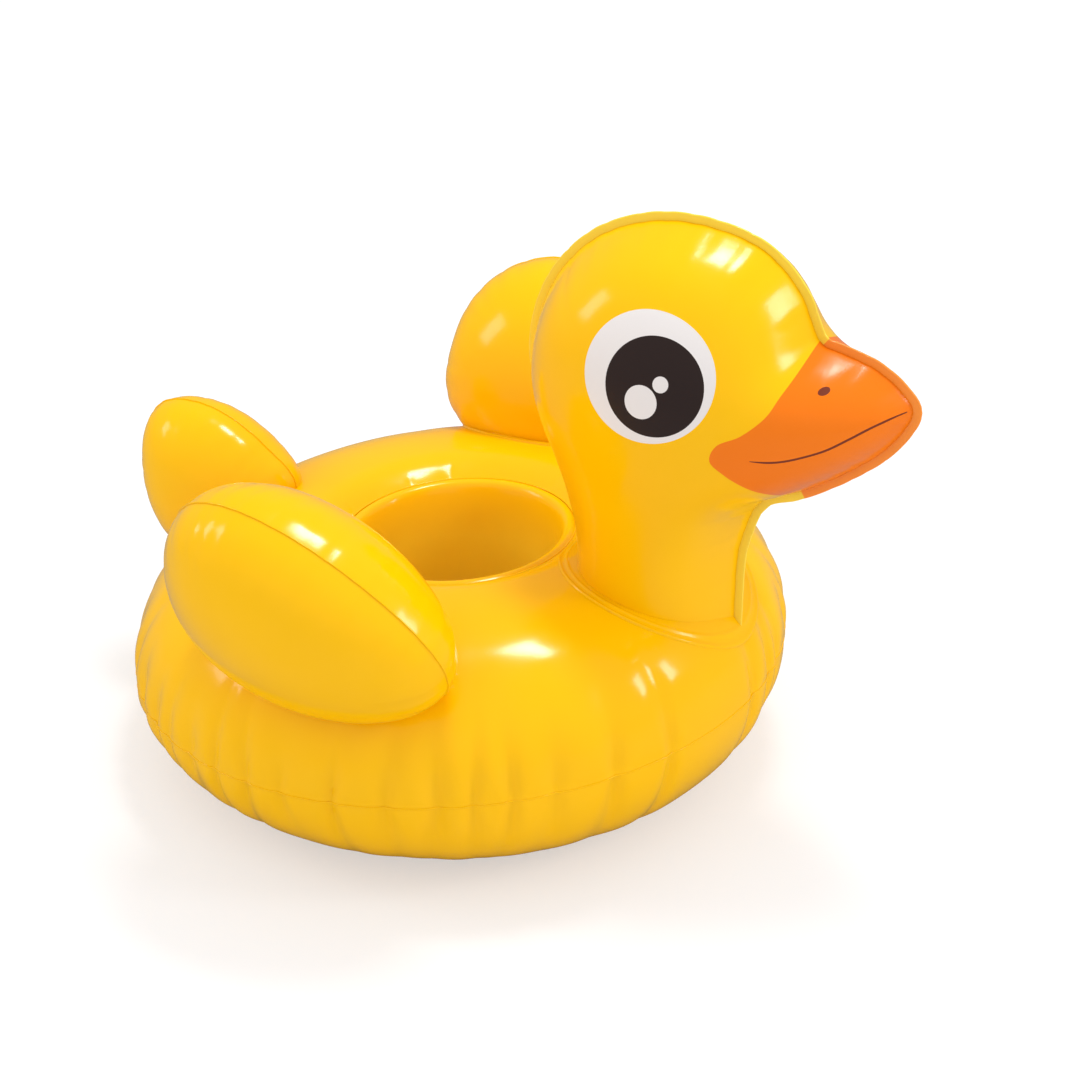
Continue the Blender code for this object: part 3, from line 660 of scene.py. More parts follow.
# What each slot or look is made as: name, function, colour setting and the function's other values
FINISHES = {
    "yellow_vinyl": ("Yellow calendered PVC film", film, "yellow", YELLOW_ROUGHNESS),
    "orange_vinyl": ("Orange calendered PVC film", film, "orange", ORANGE_ROUGHNESS),
    # The weld finishes are painted paler than the film, as painted backlight through the thin margin
    "yellow_weld": ("Welded yellow PVC film", film, "yellow_weld", YELLOW_ROUGHNESS),
    "orange_weld": ("Welded orange PVC film", film, "orange_weld", ORANGE_ROUGHNESS),
    # The well's film has painted light in its colour, paler with depth
    "well_film": ("Yellow PVC film lit from inside", film, "yellow", YELLOW_ROUGHNESS, True),
    "white_ink": ("White screen ink", ink, "white"),
    "dark_ink": ("Dark screen ink", ink, "dark"),
    "line_ink": ("Brown screen ink", ink, "line"),
    "soft_vinyl": ("Soft clear PVC moulding", soft_moulding, "valve"),
}


def finish_of(look):
    name, made_as, colour, *values = FINISHES[look]
    colours = bpy.context.scene.duck_colours
    return bpy.data.materials.get(name) or made_as(name, tuple(getattr(colours, colour)), *values)


def dress(obj, slot, body, *nodes, blend=None, look=None):
    """Gives a piece its finish and its body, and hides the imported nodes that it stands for."""
    obj.data.materials.clear()
    obj.data.materials.append(finish_of(look or slot))
    if blend:
        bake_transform(obj, blend[0], blend[1], start=blend[2], end=blend[3])
    else:
        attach(obj, body)
    if nodes:
        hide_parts(*nodes)
    return obj


# ---- weld margins

MARGIN_ROUNDING = 0.42
MARGIN_INSET = 0.0003


def weld_margin_tree():
    """Sweeps a rounded strip along a path, standing out from it along the path's own outward vectors."""
    name = "Weld margin"
    tree = bpy.data.node_groups.get(name)
    if tree:
        return tree
    tree = bpy.data.node_groups.new(name, "GeometryNodeTree")
    for label, kind, way in (("Path", "Geometry", "INPUT"), ("Width", "Float", "INPUT"),
                             ("Thickness", "Float", "INPUT"), ("Rounding", "Float", "INPUT"),
                             ("Inset", "Float", "INPUT"), ("Finish", "Material", "INPUT"),
                             ("Margin", "Geometry", "OUTPUT")):
        tree.interface.new_socket(label, in_out=way, socket_type="NodeSocket" + kind)
    given = add_node(tree, "NodeGroupInput").outputs
    path = add_node(tree, "GeometryNodeMeshToCurve", inputs={"Mesh": given["Path"]})
    outward = add_node(tree, "GeometryNodeInputNamedAttribute", {"data_type": "FLOAT_VECTOR"}, {
        "Name": "outward"})
    aimed = add_node(tree, "GeometryNodeSetCurveNormal", {"mode": "FREE"}, {
        "Curve": path.outputs["Curve"], "Normal": outward.outputs["Attribute"]})
    strip = add_node(tree, "GeometryNodeCurvePrimitiveQuadrilateral", {"mode": "RECTANGLE"}, {
        "Width": given["Width"], "Height": given["Thickness"]})
    rounded = add_node(tree, "GeometryNodeFilletCurve", {"mode": "POLY"}, {
        "Curve": strip.outputs["Curve"], "Count": 3, "Radius": given["Rounding"]})
    half = add_node(tree, "ShaderNodeMath", {"operation": "MULTIPLY_ADD"}, {0: given["Width"], 1: 0.5})
    back = add_node(tree, "ShaderNodeMath", {"operation": "MULTIPLY"}, {0: given["Inset"], 1: -1.0})
    tree.links.new(back.outputs[0], half.inputs[2])
    shift = add_node(tree, "ShaderNodeCombineXYZ", inputs={"X": half.outputs[0]})
    placed = add_node(tree, "GeometryNodeTransform", inputs={
        "Geometry": rounded.outputs["Curve"], "Translation": shift.outputs["Vector"]})
    swept = add_node(tree, "GeometryNodeCurveToMesh", inputs={
        "Curve": aimed.outputs["Curve"], "Profile Curve": placed.outputs["Geometry"], "Fill Caps": True})
    real = add_node(tree, "GeometryNodeRealizeInstances", inputs={"Geometry": swept.outputs["Mesh"]})
    painted = add_node(tree, "GeometryNodeSetMaterial", inputs={
        "Geometry": real.outputs["Geometry"], "Material": given["Finish"]})
    result = add_node(tree, "NodeGroupOutput")
    tree.links.new(painted.outputs["Geometry"], result.inputs["Margin"])
    return tree


def weld_margin(name, path, outward, width, thickness, finish, closed, share=None):
    """The strip of welded film along a path of points, with a share of its width at each."""
    count = len(path)
    mesh = bpy.data.meshes.new(name)
    last = count if closed else count - 1
    mesh.from_pydata(np.asarray(path).tolist(), [(i, (i + 1) % count) for i in range(last)], [])
    attribute = mesh.attributes.new("outward", "FLOAT_VECTOR", "POINT")
    attribute.data.foreach_set("vector", np.asarray(outward, np.float32).ravel())
    if share is not None:
        attribute = mesh.attributes.new("radius", "FLOAT", "POINT")
        attribute.data.foreach_set("value", np.asarray(share, np.float32))
    obj = linked(name, mesh)
    modifier = obj.modifiers.new("margin", "NODES")
    modifier.node_group = weld_margin_tree()
    values = {"Width": width, "Thickness": thickness, "Rounding": MARGIN_ROUNDING * min(thickness, width),
              "Inset": MARGIN_INSET, "Finish": finish}
    for item in modifier.node_group.interface.items_tree:
        if item.item_type == "SOCKET" and item.in_out == "INPUT" and item.name in values:
            modifier[item.identifier] = values[item.name]
    mesh = applied(obj)
    for attribute in list(mesh.attributes):
        if attribute.name in ("outward", "radius"):
            mesh.attributes.remove(attribute)
    return new_object(name, face_outwards(mesh), [finish])


def outward_of(loop, closed=True):
    """Unit vectors in the plane that point out of a closed outline, or to the same side of an open one."""
    ahead = np.roll(loop, -1, axis=0) - np.roll(loop, 1, axis=0)
    if not closed:
        ahead[0] = loop[1] - loop[0]
        ahead[-1] = loop[-1] - loop[-2]
    out = np.stack([ahead[:, 1], -ahead[:, 0]], axis=1)
    out /= np.maximum(np.linalg.norm(out, axis=1, keepdims=True), 1e-12)
    x, y = loop[:, 0], loop[:, 1]
    area = (x * np.roll(y, -1) - np.roll(x, -1) * y).sum()
    return out if area > 0 else -out


# ---- the ring

# Degrees round the ring of the creases that stand out on its front, and the others' pitch and width
FRONT_CREASES = (-64.0, -58.5, -52.0, -45.0, -34.5, -23.5, -1.0)
CREASE_PITCH, CREASE_WIDTH, CREASE_SEED = 0.0165, 0.0026, 7
# Pitch, depth, reach, width and seed of the puckers along the other seams
GROOVE_PUCKERS = (0.012, 0.0006, 0.007, 0.0015, 11)
HEAD_PUCKERS = (0.011, 0.0009, 0.009, 0.0017, 5)
RIGHT_WING_PUCKERS = (0.0115, 0.0012, 0.010, 0.0017, 21)
LEFT_WING_PUCKERS = (0.0115, 0.0012, 0.010, 0.0017, 22)
TAIL_PUCKERS = (0.010, 0.0010, 0.009, 0.0016, 31)
# Share of a crease that is left in the weld itself, and how fast the groove's puckers come in
WELD_HOLD, GROOVE_START = 0.35, 0.001
RING_COLUMNS, WELL_COLUMNS, RING_PITCH, WELL_PITCH = 480, 240, 0.0017, 0.0012
GROOVE_BEAD = (0.0007, 0.0008)
NECK_HOLE, TAIL_HOLE, WING_HOLE = 0.020, 0.008, 0.010
VALVE_HOLE, VALVE_HOLE_REACH = 0.0052, 0.008
# What is welded on to the ring is cut this far below its surface, by a solid that ends inside it
CUT_BELOW, CUTTER_PITCH, CUTTER_SEGMENTS = 0.0007, 0.0016, 256
CUTTER_INSIDE = ((0.030, 0.070), (0.030, -0.030), (0.129, -0.030))


def ring_puckers(sizes):
    front = [math.radians(angle) * RING_RADIUS for angle in FRONT_CREASES]
    return Puckers(2 * math.pi * RING_RADIUS, CREASE_PITCH, sizes.pucker_depth, sizes.pucker_reach,
                   CREASE_WIDTH, CREASE_SEED, front)


def ring_rows(profile, side, puckers, groove=None, columns=RING_COLUMNS):
    """Points of a turned panel: profile from the outer seam inwards, side +1 for the top and the well."""
    profile = even_points(profile, RING_PITCH)
    steps = np.linalg.norm(np.diff(profile, axis=0), axis=1)
    away = np.concatenate([[0], np.cumsum(steps)])
    tangent = np.gradient(profile, axis=0)
    tangent /= np.linalg.norm(tangent, axis=1, keepdims=True)
    normal = side * np.stack([tangent[:, 1], -tangent[:, 0]], axis=1)
    angles = 2 * np.pi * np.arange(columns) / columns
    drawn = np.zeros((len(profile), columns))
    if puckers:
        along = (angles * RING_RADIUS)[None, :]
        hold = WELD_HOLD + (1 - WELD_HOLD) * (1 - np.exp(-away / CREASE_START))
        drawn += puckers.depth_at(along, away[:, None]) * hold[:, None]
    if groove:
        inner = (away[-1] - away)[:, None]
        drawn += groove.depth_at((angles * GROOVE_RADIUS)[None, :], inner) * (
            1 - np.exp(-inner / GROOVE_START))
    radius = profile[:, :1] - normal[:, :1] * drawn
    height = profile[:, 1:] - normal[:, 1:] * drawn
    x = radius * np.cos(angles)
    raised = height + FRONT_LIFT * x / RING_RADIUS * np.clip(height / SEAM_HEIGHT, 0, 1)
    return np.stack([x + RING_X, radius * np.sin(angles), raised], axis=-1)


# The profiles are radii and heights, from the outer seam inwards
def top_profile():
    shoulder = [(r, shoulder_height(r)) for r in (0.0595, 0.0570, 0.0545, 0.0520, 0.0492, GROOVE_RADIUS)]
    return quarter(RING_RADIUS, CREST_RADIUS, SEAM_HEIGHT, CREST_HEIGHT, 60) + shoulder


def bottom_profile():
    foot = [(FOOT_INNER_RADIUS + 0.003, 0.0003), (FOOT_INNER_RADIUS, 0.0009)]
    return quarter(RING_RADIUS, FOOT_OUTER_RADIUS, SEAM_HEIGHT, 0.0002, 50) + foot


def well_profile():
    drawn = [(GROOVE_RADIUS, GROOVE_HEIGHT - 0.0004), (0.0449, 0.0922), (0.0429, 0.0922), (0.0410, 0.0895),
             (0.0388, 0.0800), (0.0374, 0.0640), (0.0370, 0.0480), (0.0376, 0.0300), (0.0400, 0.0150),
             (0.0440, 0.0055), (FOOT_INNER_RADIUS, 0.0012)]
    return smooth_curve(drawn, WELL_PITCH, closed=False)


def ring_solid(name):
    """A closed solid under the ring's upper surface, which trims what is welded on to it."""
    profile = np.array(top_profile())
    tangent = np.gradient(profile, axis=0)
    tangent /= np.maximum(np.linalg.norm(tangent, axis=1, keepdims=True), 1e-12)
    profile = profile - CUT_BELOW * np.stack([tangent[:, 1], -tangent[:, 0]], axis=1)
    loop = [tuple(p) for p in even_points(profile, CUTTER_PITCH)] + list(CUTTER_INSIDE)
    mesh = turned(name, loop, segments=CUTTER_SEGMENTS)
    for vertex in mesh.vertices:
        vertex.co.z = lift(vertex.co.x, vertex.co.z)
        vertex.co.x += RING_X
    return new_object(name, face_outwards(mesh))


def passage(name, x, y, radius, reach=0.030):
    """A round bar through the ring's top panel at (x, y) from its axis."""
    point, normal = on_ring(x, y)
    mesh = turned(name, [(0, -reach), (radius, -reach), (radius, reach), (0, reach)])
    mesh.transform(Matrix.Translation(point) @ normal.to_track_quat("Z", "Y").to_matrix().to_4x4())
    return new_object(name, face_outwards(mesh))


def build_ring(sizes):
    puckers = ring_puckers(sizes)
    groove = Puckers(2 * math.pi * GROOVE_RADIUS, *GROOVE_PUCKERS)
    top = new_object("ring_top_skin", grid_shell(
        "ring_top_skin", ring_rows(top_profile(), 1, puckers, groove), sizes.film))
    for hole in (passage("neck_bar", *NECK_ROOT, NECK_HOLE),
                 passage("valve_bar", *VALVE_XY, VALVE_HOLE, VALVE_HOLE_REACH),
                 passage("tail_bar", *TAIL_ROOT, TAIL_HOLE),
                 passage("left_wing_bar", WING_ROOT[0], WING_ROOT[1], WING_HOLE),
                 passage("right_wing_bar", WING_ROOT[0], -WING_ROOT[1], WING_HOLE)):
        top = trimmed(top, hole)
        bpy.data.objects.remove(hole)
    dress(top, "yellow_vinyl", "ring", "ring_top_panel")
    bottom = new_object("ring_bottom_skin", grid_shell("ring_bottom_skin", ring_rows(
        bottom_profile(), -1, puckers)[::-1], sizes.film))
    dress(bottom, "yellow_vinyl", "ring", "ring_bottom_panel")
    well = new_object("well_wall_skin", grid_shell("well_wall_skin", ring_rows(
        well_profile(), 1, None, columns=WELL_COLUMNS), sizes.film))
    # The well wall's film is painted paler with depth, as painted light
    dress(well, "yellow_vinyl", "ring", "well_wall_panel", look="well_film")
    seam = ring_rows([(RING_RADIUS, SEAM_HEIGHT), (RING_RADIUS, SEAM_HEIGHT + 0.001)], 1, puckers)[0]
    out = seam - np.array([RING_X, 0, 0])
    out[:, 2] = 0
    out /= np.linalg.norm(out, axis=1, keepdims=True)
    bead = weld_margin("ring_seam_bead", seam, out, sizes.seam_bead, sizes.margin_thickness,
                       finish_of("yellow_vinyl"), True)
    dress(bead, "yellow_vinyl", "ring")
    groove_path = ring_rows([(GROOVE_RADIUS, GROOVE_HEIGHT + 0.0002), (GROOVE_RADIUS - 0.001, GROOVE_HEIGHT)],
                            1, None, columns=WELL_COLUMNS)[0]
    up = np.tile([0.0, 0.0, 1.0], (len(groove_path), 1))
    weld = weld_margin("well_seam_bead", groove_path, up, *GROOVE_BEAD, finish_of("yellow_vinyl"), True)
    dress(weld, "yellow_vinyl", "ring")


# ---- head and neck

# Side outline of neck, head and beak as x, z and the share of its full width that the weld margin has
HEAD_POINTS = (
    (0.0554, 0.0800, 1.0), (0.0554, 0.1083, 1.0), (0.0542, 0.1241, 1.0), (0.0488, 0.1427, 1.0),
    (0.0397, 0.1592, 1.0), (0.0351, 0.1757, 1.0), (0.0374, 0.1950, 0.95), (0.0458, 0.2132, 0.80),
    (0.0612, 0.2292, 0.55), (0.0820, 0.2388, 0.42), (0.1037, 0.2408, 0.38), (0.1248, 0.2360, 0.36),
    (0.1392, 0.2232, 0.34), (0.1476, 0.2063, 0.30), (0.1563, 0.2034, 0.26), (0.1687, 0.2001, 0.24),
    (0.1795, 0.1931, 0.22), (0.1836, 0.1848, 0.18), (0.1745, 0.1695, 0.16), (0.1588, 0.1555, 0.16),
    (0.1427, 0.1447, 0.18), (0.1315, 0.1398, 0.26), (0.1257, 0.1331, 0.38), (0.1224, 0.1232, 0.48),
    (0.1199, 0.1096, 0.48), (0.1195, 0.0740, 0.20),
)
BEAK_BORDER = (
    (0.1476, 0.2063), (0.1464, 0.2001), (0.1443, 0.1948), (0.1414, 0.1886), (0.1344, 0.1819),
    (0.1269, 0.1778), (0.1245, 0.1712), (0.1290, 0.1654), (0.1356, 0.1584), (0.1410, 0.1520),
    (0.1427, 0.1447),
)
MOUTH = ((0.1375, 0.1721), (0.1430, 0.1717), (0.1481, 0.1722), (0.1545, 0.1740), (0.1609, 0.1765),
         (0.1670, 0.1802), (0.1729, 0.1838), (0.1785, 0.1864), (0.1822, 0.1874))
EYE = ((0.1000, 0.1979), (0.0246, 0.0228))
PUPIL = ((0.1030, 0.1956), (0.0182, 0.0176))
GLINT = ((0.0993, 0.1901), (0.0061, 0.0061))
SMALL_GLINT = ((0.1059, 0.1975), (0.0029, 0.0029))
NOSTRIL = ((0.1566, 0.1958), (0.0018, 0.0011))
# Where the neck's foot is open to the ring
NECK_X, NECK_OPEN_HALF, NECK_OPEN_TOP = 0.0868, 0.031, 0.0801
NECK_BEND = ((0.06947, 0, 0.096), (0.06947, 0, 0.126))
# Spacing of the points of the head's outline and of each print, as a share of the mesh pitch
HEAD_PITCH, GLINT_PITCH, SMALL_GLINT_PITCH, NOSTRIL_PITCH, MOUTH_PITCH = 0.85, 0.7, 0.6, 0.5, 0.8
MOUTH_WIDTH = 0.0009
# Share of a printed line's width at its start and end, and how fast the rest of it comes in
LINE_START, LINE_END = (0.30, 6), (0.45, 5)
# Corners that close the beak's side of its border, and how far inside the outline a point is tested
BEAK_CORNERS = ((0.1427, 0.10), (0.25, 0.10), (0.25, 0.25), (0.1476, 0.25))
OUTLINE_INSET = 0.0006
FOOT_POINTS = 36
HEAD_WELD_THICKNESS = 1.5
SHARE_SCALE = 0.001


def tapered_loop(points, width, pitch):
    """A closed thin strip round a line, narrowing to its ends."""
    line = smooth_curve(points, pitch, closed=False)
    side = outward_of(line, closed=False)
    share = np.linspace(0, 1, len(line))[:, None]
    start = LINE_START[0] + LINE_START[1] * share
    end = LINE_END[0] + LINE_END[1] * (1 - share)
    half = width / 2 * np.minimum(1, np.minimum(start, end))
    return np.concatenate([line + side * half, (line - side * half)[::-1]])


def build_head(sizes):
    pitch = sizes.mesh_pitch * HEAD_PITCH
    # The margin's share is scaled down to a length, so that it hardly counts in the spacing
    traced = smooth_curve([(x, z, SHARE_SCALE * share) for x, z, share in HEAD_POINTS], pitch, closed=False)
    drawn, share = traced[:, :2], traced[:, 2] / SHARE_SCALE
    foot = np.linspace(drawn[-1], drawn[0], FOOT_POINTS)[1:-1]
    outline = np.concatenate([drawn, foot])
    border = smooth_curve(BEAK_BORDER, pitch, closed=False)
    loops = {
        "eye": ellipse(*EYE, pitch),
        "pupil": ellipse(*PUPIL, pitch),
        "glint": ellipse(*GLINT, pitch * GLINT_PITCH),
        "small_glint": ellipse(*SMALL_GLINT, pitch * SMALL_GLINT_PITCH),
        "nostril": ellipse(*NOSTRIL, pitch * NOSTRIL_PITCH),
        "mouth": tapered_loop(MOUTH, MOUTH_WIDTH, pitch * MOUTH_PITCH),
    }
    lines = [(border, False)] + [(loop, True) for loop in loops.values()]
    flat, faces = triangulated(outline, lines, pitch)
    height = inflated(flat, faces, lambda p: p[1] < NECK_OPEN_TOP and abs(p[0] - NECK_X) < NECK_OPEN_HALF)
    puckers = Puckers(len(outline) * pitch, *HEAD_PUCKERS)
    bent, height = puckered(flat, height, outline, puckers, sizes.tuck)
    centre = flat[faces].mean(axis=1)
    beak_side = np.concatenate([border, BEAK_CORNERS])
    within = {name: inside(centre, loop) for name, loop in loops.items()}
    glints = within["glint"] | within["small_glint"]
    lines_printed = within["mouth"] | within["nostril"]
    beak = inside(centre, beak_side) & ~within["eye"]
    parts = {
        "eye_pupil": (within["pupil"] & ~glints, "dark_ink", None),
        "eye_white": ((within["eye"] & ~within["pupil"]) | glints, "white_ink", None),
        "mouth_print": (lines_printed, "dark_ink", "line_ink"),
        "beak_skin": (beak & ~lines_printed, "orange_vinyl", None),
        "head_skin": (~beak & ~within["eye"] & ~within["pupil"] & ~glints & ~lines_printed,
                      "yellow_vinyl", None),
    }
    cutter = ring_solid("neck_cutter")
    bend = ("ring", "head", *NECK_BEND)
    for side, sign in (("left", 1), ("right", -1)):
        def place(p, sign=sign):
            return np.column_stack([p[:, 0] + RING_X, sign * p[:, 2], p[:, 1]])

        shell = Film(bent, height, faces, place, sizes.film)
        for part, (keep, slot, look) in parts.items():
            name = f"{side}_{part}"
            piece = new_object(name, shell.panel(name, keep))
            node = {"eye_pupil": f"{side}_eye_pupil", "eye_white": f"{side}_eye_white",
                    "beak_skin": f"beak_{side}_panel", "head_skin": f"head_{side}_panel"}.get(part)
            if part == "head_skin":
                piece = trimmed(piece, cutter)
                dress(piece, slot, None, node, blend=bend)
            elif node:
                dress(piece, slot, "head", node)
            else:
                dress(piece, slot, "head", look=look)
    edge, _ = puckered(outline, np.zeros(len(outline)), outline, puckers)
    edge = edge[:len(drawn)]
    out = outward_of(drawn, closed=False)
    on_beak = inside(drawn - out * OUTLINE_INSET, beak_side)
    first, last = np.flatnonzero(on_beak)[[0, -1]]
    # The head's weld margins take the weld colours, painted paler as painted backlight
    for name, a, b, slot, look, bends in (
            ("head_margin_back", 0, first + 1, "yellow_vinyl", "yellow_weld", True),
            ("beak_margin", first, last + 1, "orange_vinyl", "orange_weld", False),
            ("head_margin_front", last, len(drawn), "yellow_vinyl", "yellow_weld", True)):
        path = np.column_stack([edge[a:b, 0] + RING_X, np.zeros(b - a), edge[a:b, 1]])
        away = np.column_stack([out[a:b, 0], np.zeros(b - a), out[a:b, 1]])
        piece = weld_margin(name, path, away, sizes.head_margin, HEAD_WELD_THICKNESS * sizes.margin_thickness,
                            finish_of(look), False, share[a:b])
        if bends:
            dress(trimmed(piece, cutter), slot, None, blend=bend, look=look)
        else:
            dress(piece, slot, "head", look=look)
    bpy.data.objects.remove(cutter)


# ---- wings and tail

WING_CENTRE = (0.001, 0.1085, 0.1130)
WING_HALF_LENGTH, WING_HALF_HEIGHT, WING_FULLNESS = 0.0600, 0.0450, 0.0345
WING_TAPER, WING_SWELL = 0.18, 0.10
WING_YAW, WING_LEAN, WING_PITCH = math.radians(-9), math.radians(24), math.radians(11)
WING_POINTS = 1440
# How far below and above the root the film bends, on the wings and on the tail
WING_BEND, TAIL_BEND = (0.004, 0.022), (0.004, 0.016)
TAIL_POINTS = (
    (-0.1050, 0.0560), (-0.1300, 0.0520), (-0.1415, 0.0640), (-0.1465, 0.0800), (-0.1475, 0.0965),
    (-0.1440, 0.1105), (-0.1345, 0.1180), (-0.1190, 0.1195), (-0.1040, 0.1155), (-0.0890, 0.1065),
    (-0.0760, 0.0935), (-0.0820, 0.0700),
)


def wing_outline(pitch):
    angles = 2 * np.pi * np.arange(WING_POINTS) / WING_POINTS
    u = WING_HALF_LENGTH * np.cos(angles)
    v = WING_HALF_HEIGHT * np.sin(angles) * (1 + WING_TAPER * np.cos(angles))
    u = np.where((v < 0) & (u > 0), u * (1 + WING_SWELL * np.sin(2 * angles) ** 2), u)
    loop = np.column_stack([u, v])
    return even_points(np.concatenate([loop, loop[:1]]), pitch)[:-1]


def wing_axes():
    """Back along the wing, across it towards its tip edge, and out of it, for the right wing."""
    back = Vector((-math.cos(WING_YAW), -math.sin(WING_YAW), 0))
    out = Vector((math.sin(WING_YAW), -math.cos(WING_YAW), 0))
    up = Vector((0, 0, 1))
    leaning = up * math.cos(WING_LEAN) + out * math.sin(WING_LEAN)
    normal = out * math.cos(WING_LEAN) - up * math.sin(WING_LEAN)
    along = back * math.cos(WING_PITCH) + leaning * math.sin(WING_PITCH)
    across = leaning * math.cos(WING_PITCH) - back * math.sin(WING_PITCH)
    return np.array(along), np.array(across), np.array(normal)


def soft_piece(stem, outline, place, sizes, cutter, bend, names, puckers, fullness=None):
    """Both films and the weld bead of an inflated piece welded on to the ring."""
    flat, faces = triangulated(outline, [], sizes.mesh_pitch)
    height = inflated(flat, faces)
    if fullness:
        height *= fullness / height.max()
    bent, height = puckered(flat, height, outline, puckers)
    for name, node, sign in names:
        shell = Film(bent, height, faces, lambda p, s=sign: place(p * [1, 1, s]), sizes.film)
        piece = new_object(name, shell.panel(name, np.ones(len(faces), bool)))
        dress(trimmed(piece, cutter), "yellow_vinyl", None, node, blend=bend)
    edge, _ = puckered(outline, np.zeros(len(outline)), outline, puckers)
    path = place(np.column_stack([edge, np.zeros(len(edge))]))
    out = outward_of(outline)
    ahead = place(np.column_stack([edge + out, np.zeros(len(edge))])) - path
    bead = weld_margin(stem + "_margin", path, ahead, sizes.wing_margin, sizes.margin_thickness,
                       finish_of("yellow_vinyl"), True)
    dress(trimmed(bead, cutter), "yellow_vinyl", None, blend=bend)


def build_wings(sizes):
    cutter = ring_solid("wing_cutter")
    along, across, normal = wing_axes()
    outline = wing_outline(sizes.mesh_pitch)
    for side, sign, seam in (("right", -1, RIGHT_WING_PUCKERS), ("left", 1, LEFT_WING_PUCKERS)):
        flip = np.array([1, -sign, 1])
        centre = np.array([WING_CENTRE[0] + RING_X, sign * WING_CENTRE[1], WING_CENTRE[2]])
        axes = [axis * flip for axis in (along, across, normal)]
        puckers = Puckers(len(outline) * sizes.mesh_pitch, *seam)

        def place(p, centre=centre, axes=axes):
            return centre + p[:, :1] * axes[0] + p[:, 1:2] * axes[1] + p[:, 2:3] * axes[2]

        root, _ = on_ring(WING_ROOT[0], sign * WING_ROOT[1])
        tip = root + Vector(axes[1]) * WING_BEND[1]
        start = root - Vector(axes[1]) * WING_BEND[0]
        bend = ("ring", f"{side}_wing", tuple(start), tuple(tip))
        names = ((f"{side}_wing_outer_skin", f"{side}_wing_outer_panel", 1),
                 (f"{side}_wing_inner_skin", f"{side}_wing_inner_panel", -1))
        soft_piece(f"{side}_wing", outline, place, sizes, cutter, bend, names, puckers, WING_FULLNESS)
    bpy.data.objects.remove(cutter)


def build_tail(sizes):
    cutter = ring_solid("tail_cutter")
    outline = smooth_curve(TAIL_POINTS, sizes.mesh_pitch)
    puckers = Puckers(len(outline) * sizes.mesh_pitch, *TAIL_PUCKERS)

    def place(p):
        return np.column_stack([p[:, 0] + RING_X, p[:, 2], p[:, 1]])

    root, normal = on_ring(*TAIL_ROOT)
    bend = ("ring", "tail", tuple(root - normal * TAIL_BEND[0]), tuple(root + normal * TAIL_BEND[1]))
    names = (("tail_left_skin", "tail_left_panel", 1), ("tail_right_skin", "tail_right_panel", -1))
    soft_piece("tail", outline, place, sizes, cutter, bend, names, puckers)
    bpy.data.objects.remove(cutter)


# ---- root collars

BAND_COLUMNS, BAND_ROWS, BAND_THICKNESS, BAND_RISE = 200, 22, 0.0006, 0.00035
BAND_TUCKED, BAND_INNER = -0.0030, -0.0010
# Places of the raised lines across the band, as shares of its width, and their heights
BAND_LINES = ((0.90, 0.00045), (0.45, 0.00036))
BAND_LINE_WIDTH = 0.10
SMALL_BAND = 0.6


def collar(name, root, radii, width, node):
    """A weld band that follows the ring round the foot of a piece, with two raised lines on it."""
    offsets = np.concatenate([[BAND_TUCKED], np.linspace(BAND_INNER, width, BAND_ROWS)])
    rows = []
    for offset in offsets:
        share = offset / width
        ridge = sum(height * math.exp(-((share - line) / BAND_LINE_WIDTH) ** 2)
                    for line, height in BAND_LINES)
        above = BAND_RISE + ridge if offset < offsets[-1] else 0.0
        row = []
        for i in range(BAND_COLUMNS):
            angle = 2 * math.pi * i / BAND_COLUMNS
            x = root[0] + (radii[0] + offset) * math.cos(angle)
            y = root[1] + (radii[1] + offset) * math.sin(angle)
            row.append(tuple(on_ring(x, y, above)[0]))
        rows.append(row)
    shell = grid_shell(name, np.array(rows)[::-1], BAND_THICKNESS)
    return dress(new_object(name, shell), "yellow_vinyl", "ring", node)


def build_collars(sizes):
    width = sizes.collar_width
    collar("neck_root_band", NECK_ROOT, NECK_RADII, width, "neck_root_collar")
    for side, sign in (("left", 1), ("right", -1)):
        collar(f"{side}_wing_root_band", (WING_ROOT[0], sign * WING_ROOT[1]), WING_RADII, width * SMALL_BAND,
               f"{side}_wing_root_collar")
    collar("tail_root_band", TAIL_ROOT, TAIL_RADII, width * SMALL_BAND, "tail_root_collar")


# ---- valve

STEM_RADIUS, BORE_RADIUS, LIP_RADIUS = 0.0048, 0.0032, 0.0058
STEM_TOP, STEM_BOTTOM = 0.010, -0.004
# Where the strap starts and ends to bend, in the valve's own frame
STRAP_BEND = ((0.0100, 0, 0.0106), (0.0066, 0, 0.0106))
# Bevels of the valve's pieces
FLAP_BEVEL, FLANGE_BEVEL, STEM_BEVEL, BAR_BEVEL, LOOP_BEVEL = 0.0001, 0.00015, 0.00018, 0.00025, 0.0003


def valve_matrix():
    """The valve's own frame: X uphill, Y across the slope, Z out of the film."""
    point, out = on_ring(*VALVE_XY)
    uphill = (Vector((0, 0, 1)) - out * out.z).normalized()
    across = out.cross(uphill)
    turn = Matrix((uphill, across, out)).transposed().to_4x4()
    return Matrix.Translation(point) @ turn


def bar(name, low, high, bevel):
    work = bmesh.new()
    bmesh.ops.create_cube(work, size=1)
    centre = [(a + b) / 2 for a, b in zip(low, high)]
    for vertex in work.verts:
        vertex.co = [c + v * (b - a) for c, v, a, b in zip(centre, vertex.co, low, high)]
    bmesh.ops.bevel(work, geom=list(work.edges), offset=bevel, segments=3, profile=0.5, affect="EDGES")
    mesh = bpy.data.meshes.new(name)
    work.to_mesh(mesh)
    work.free()
    return mesh


def joined(name, meshes):
    work = bmesh.new()
    for mesh in meshes:
        work.from_mesh(mesh)
    mesh = bpy.data.meshes.new(name)
    work.to_mesh(mesh)
    work.free()
    return mesh


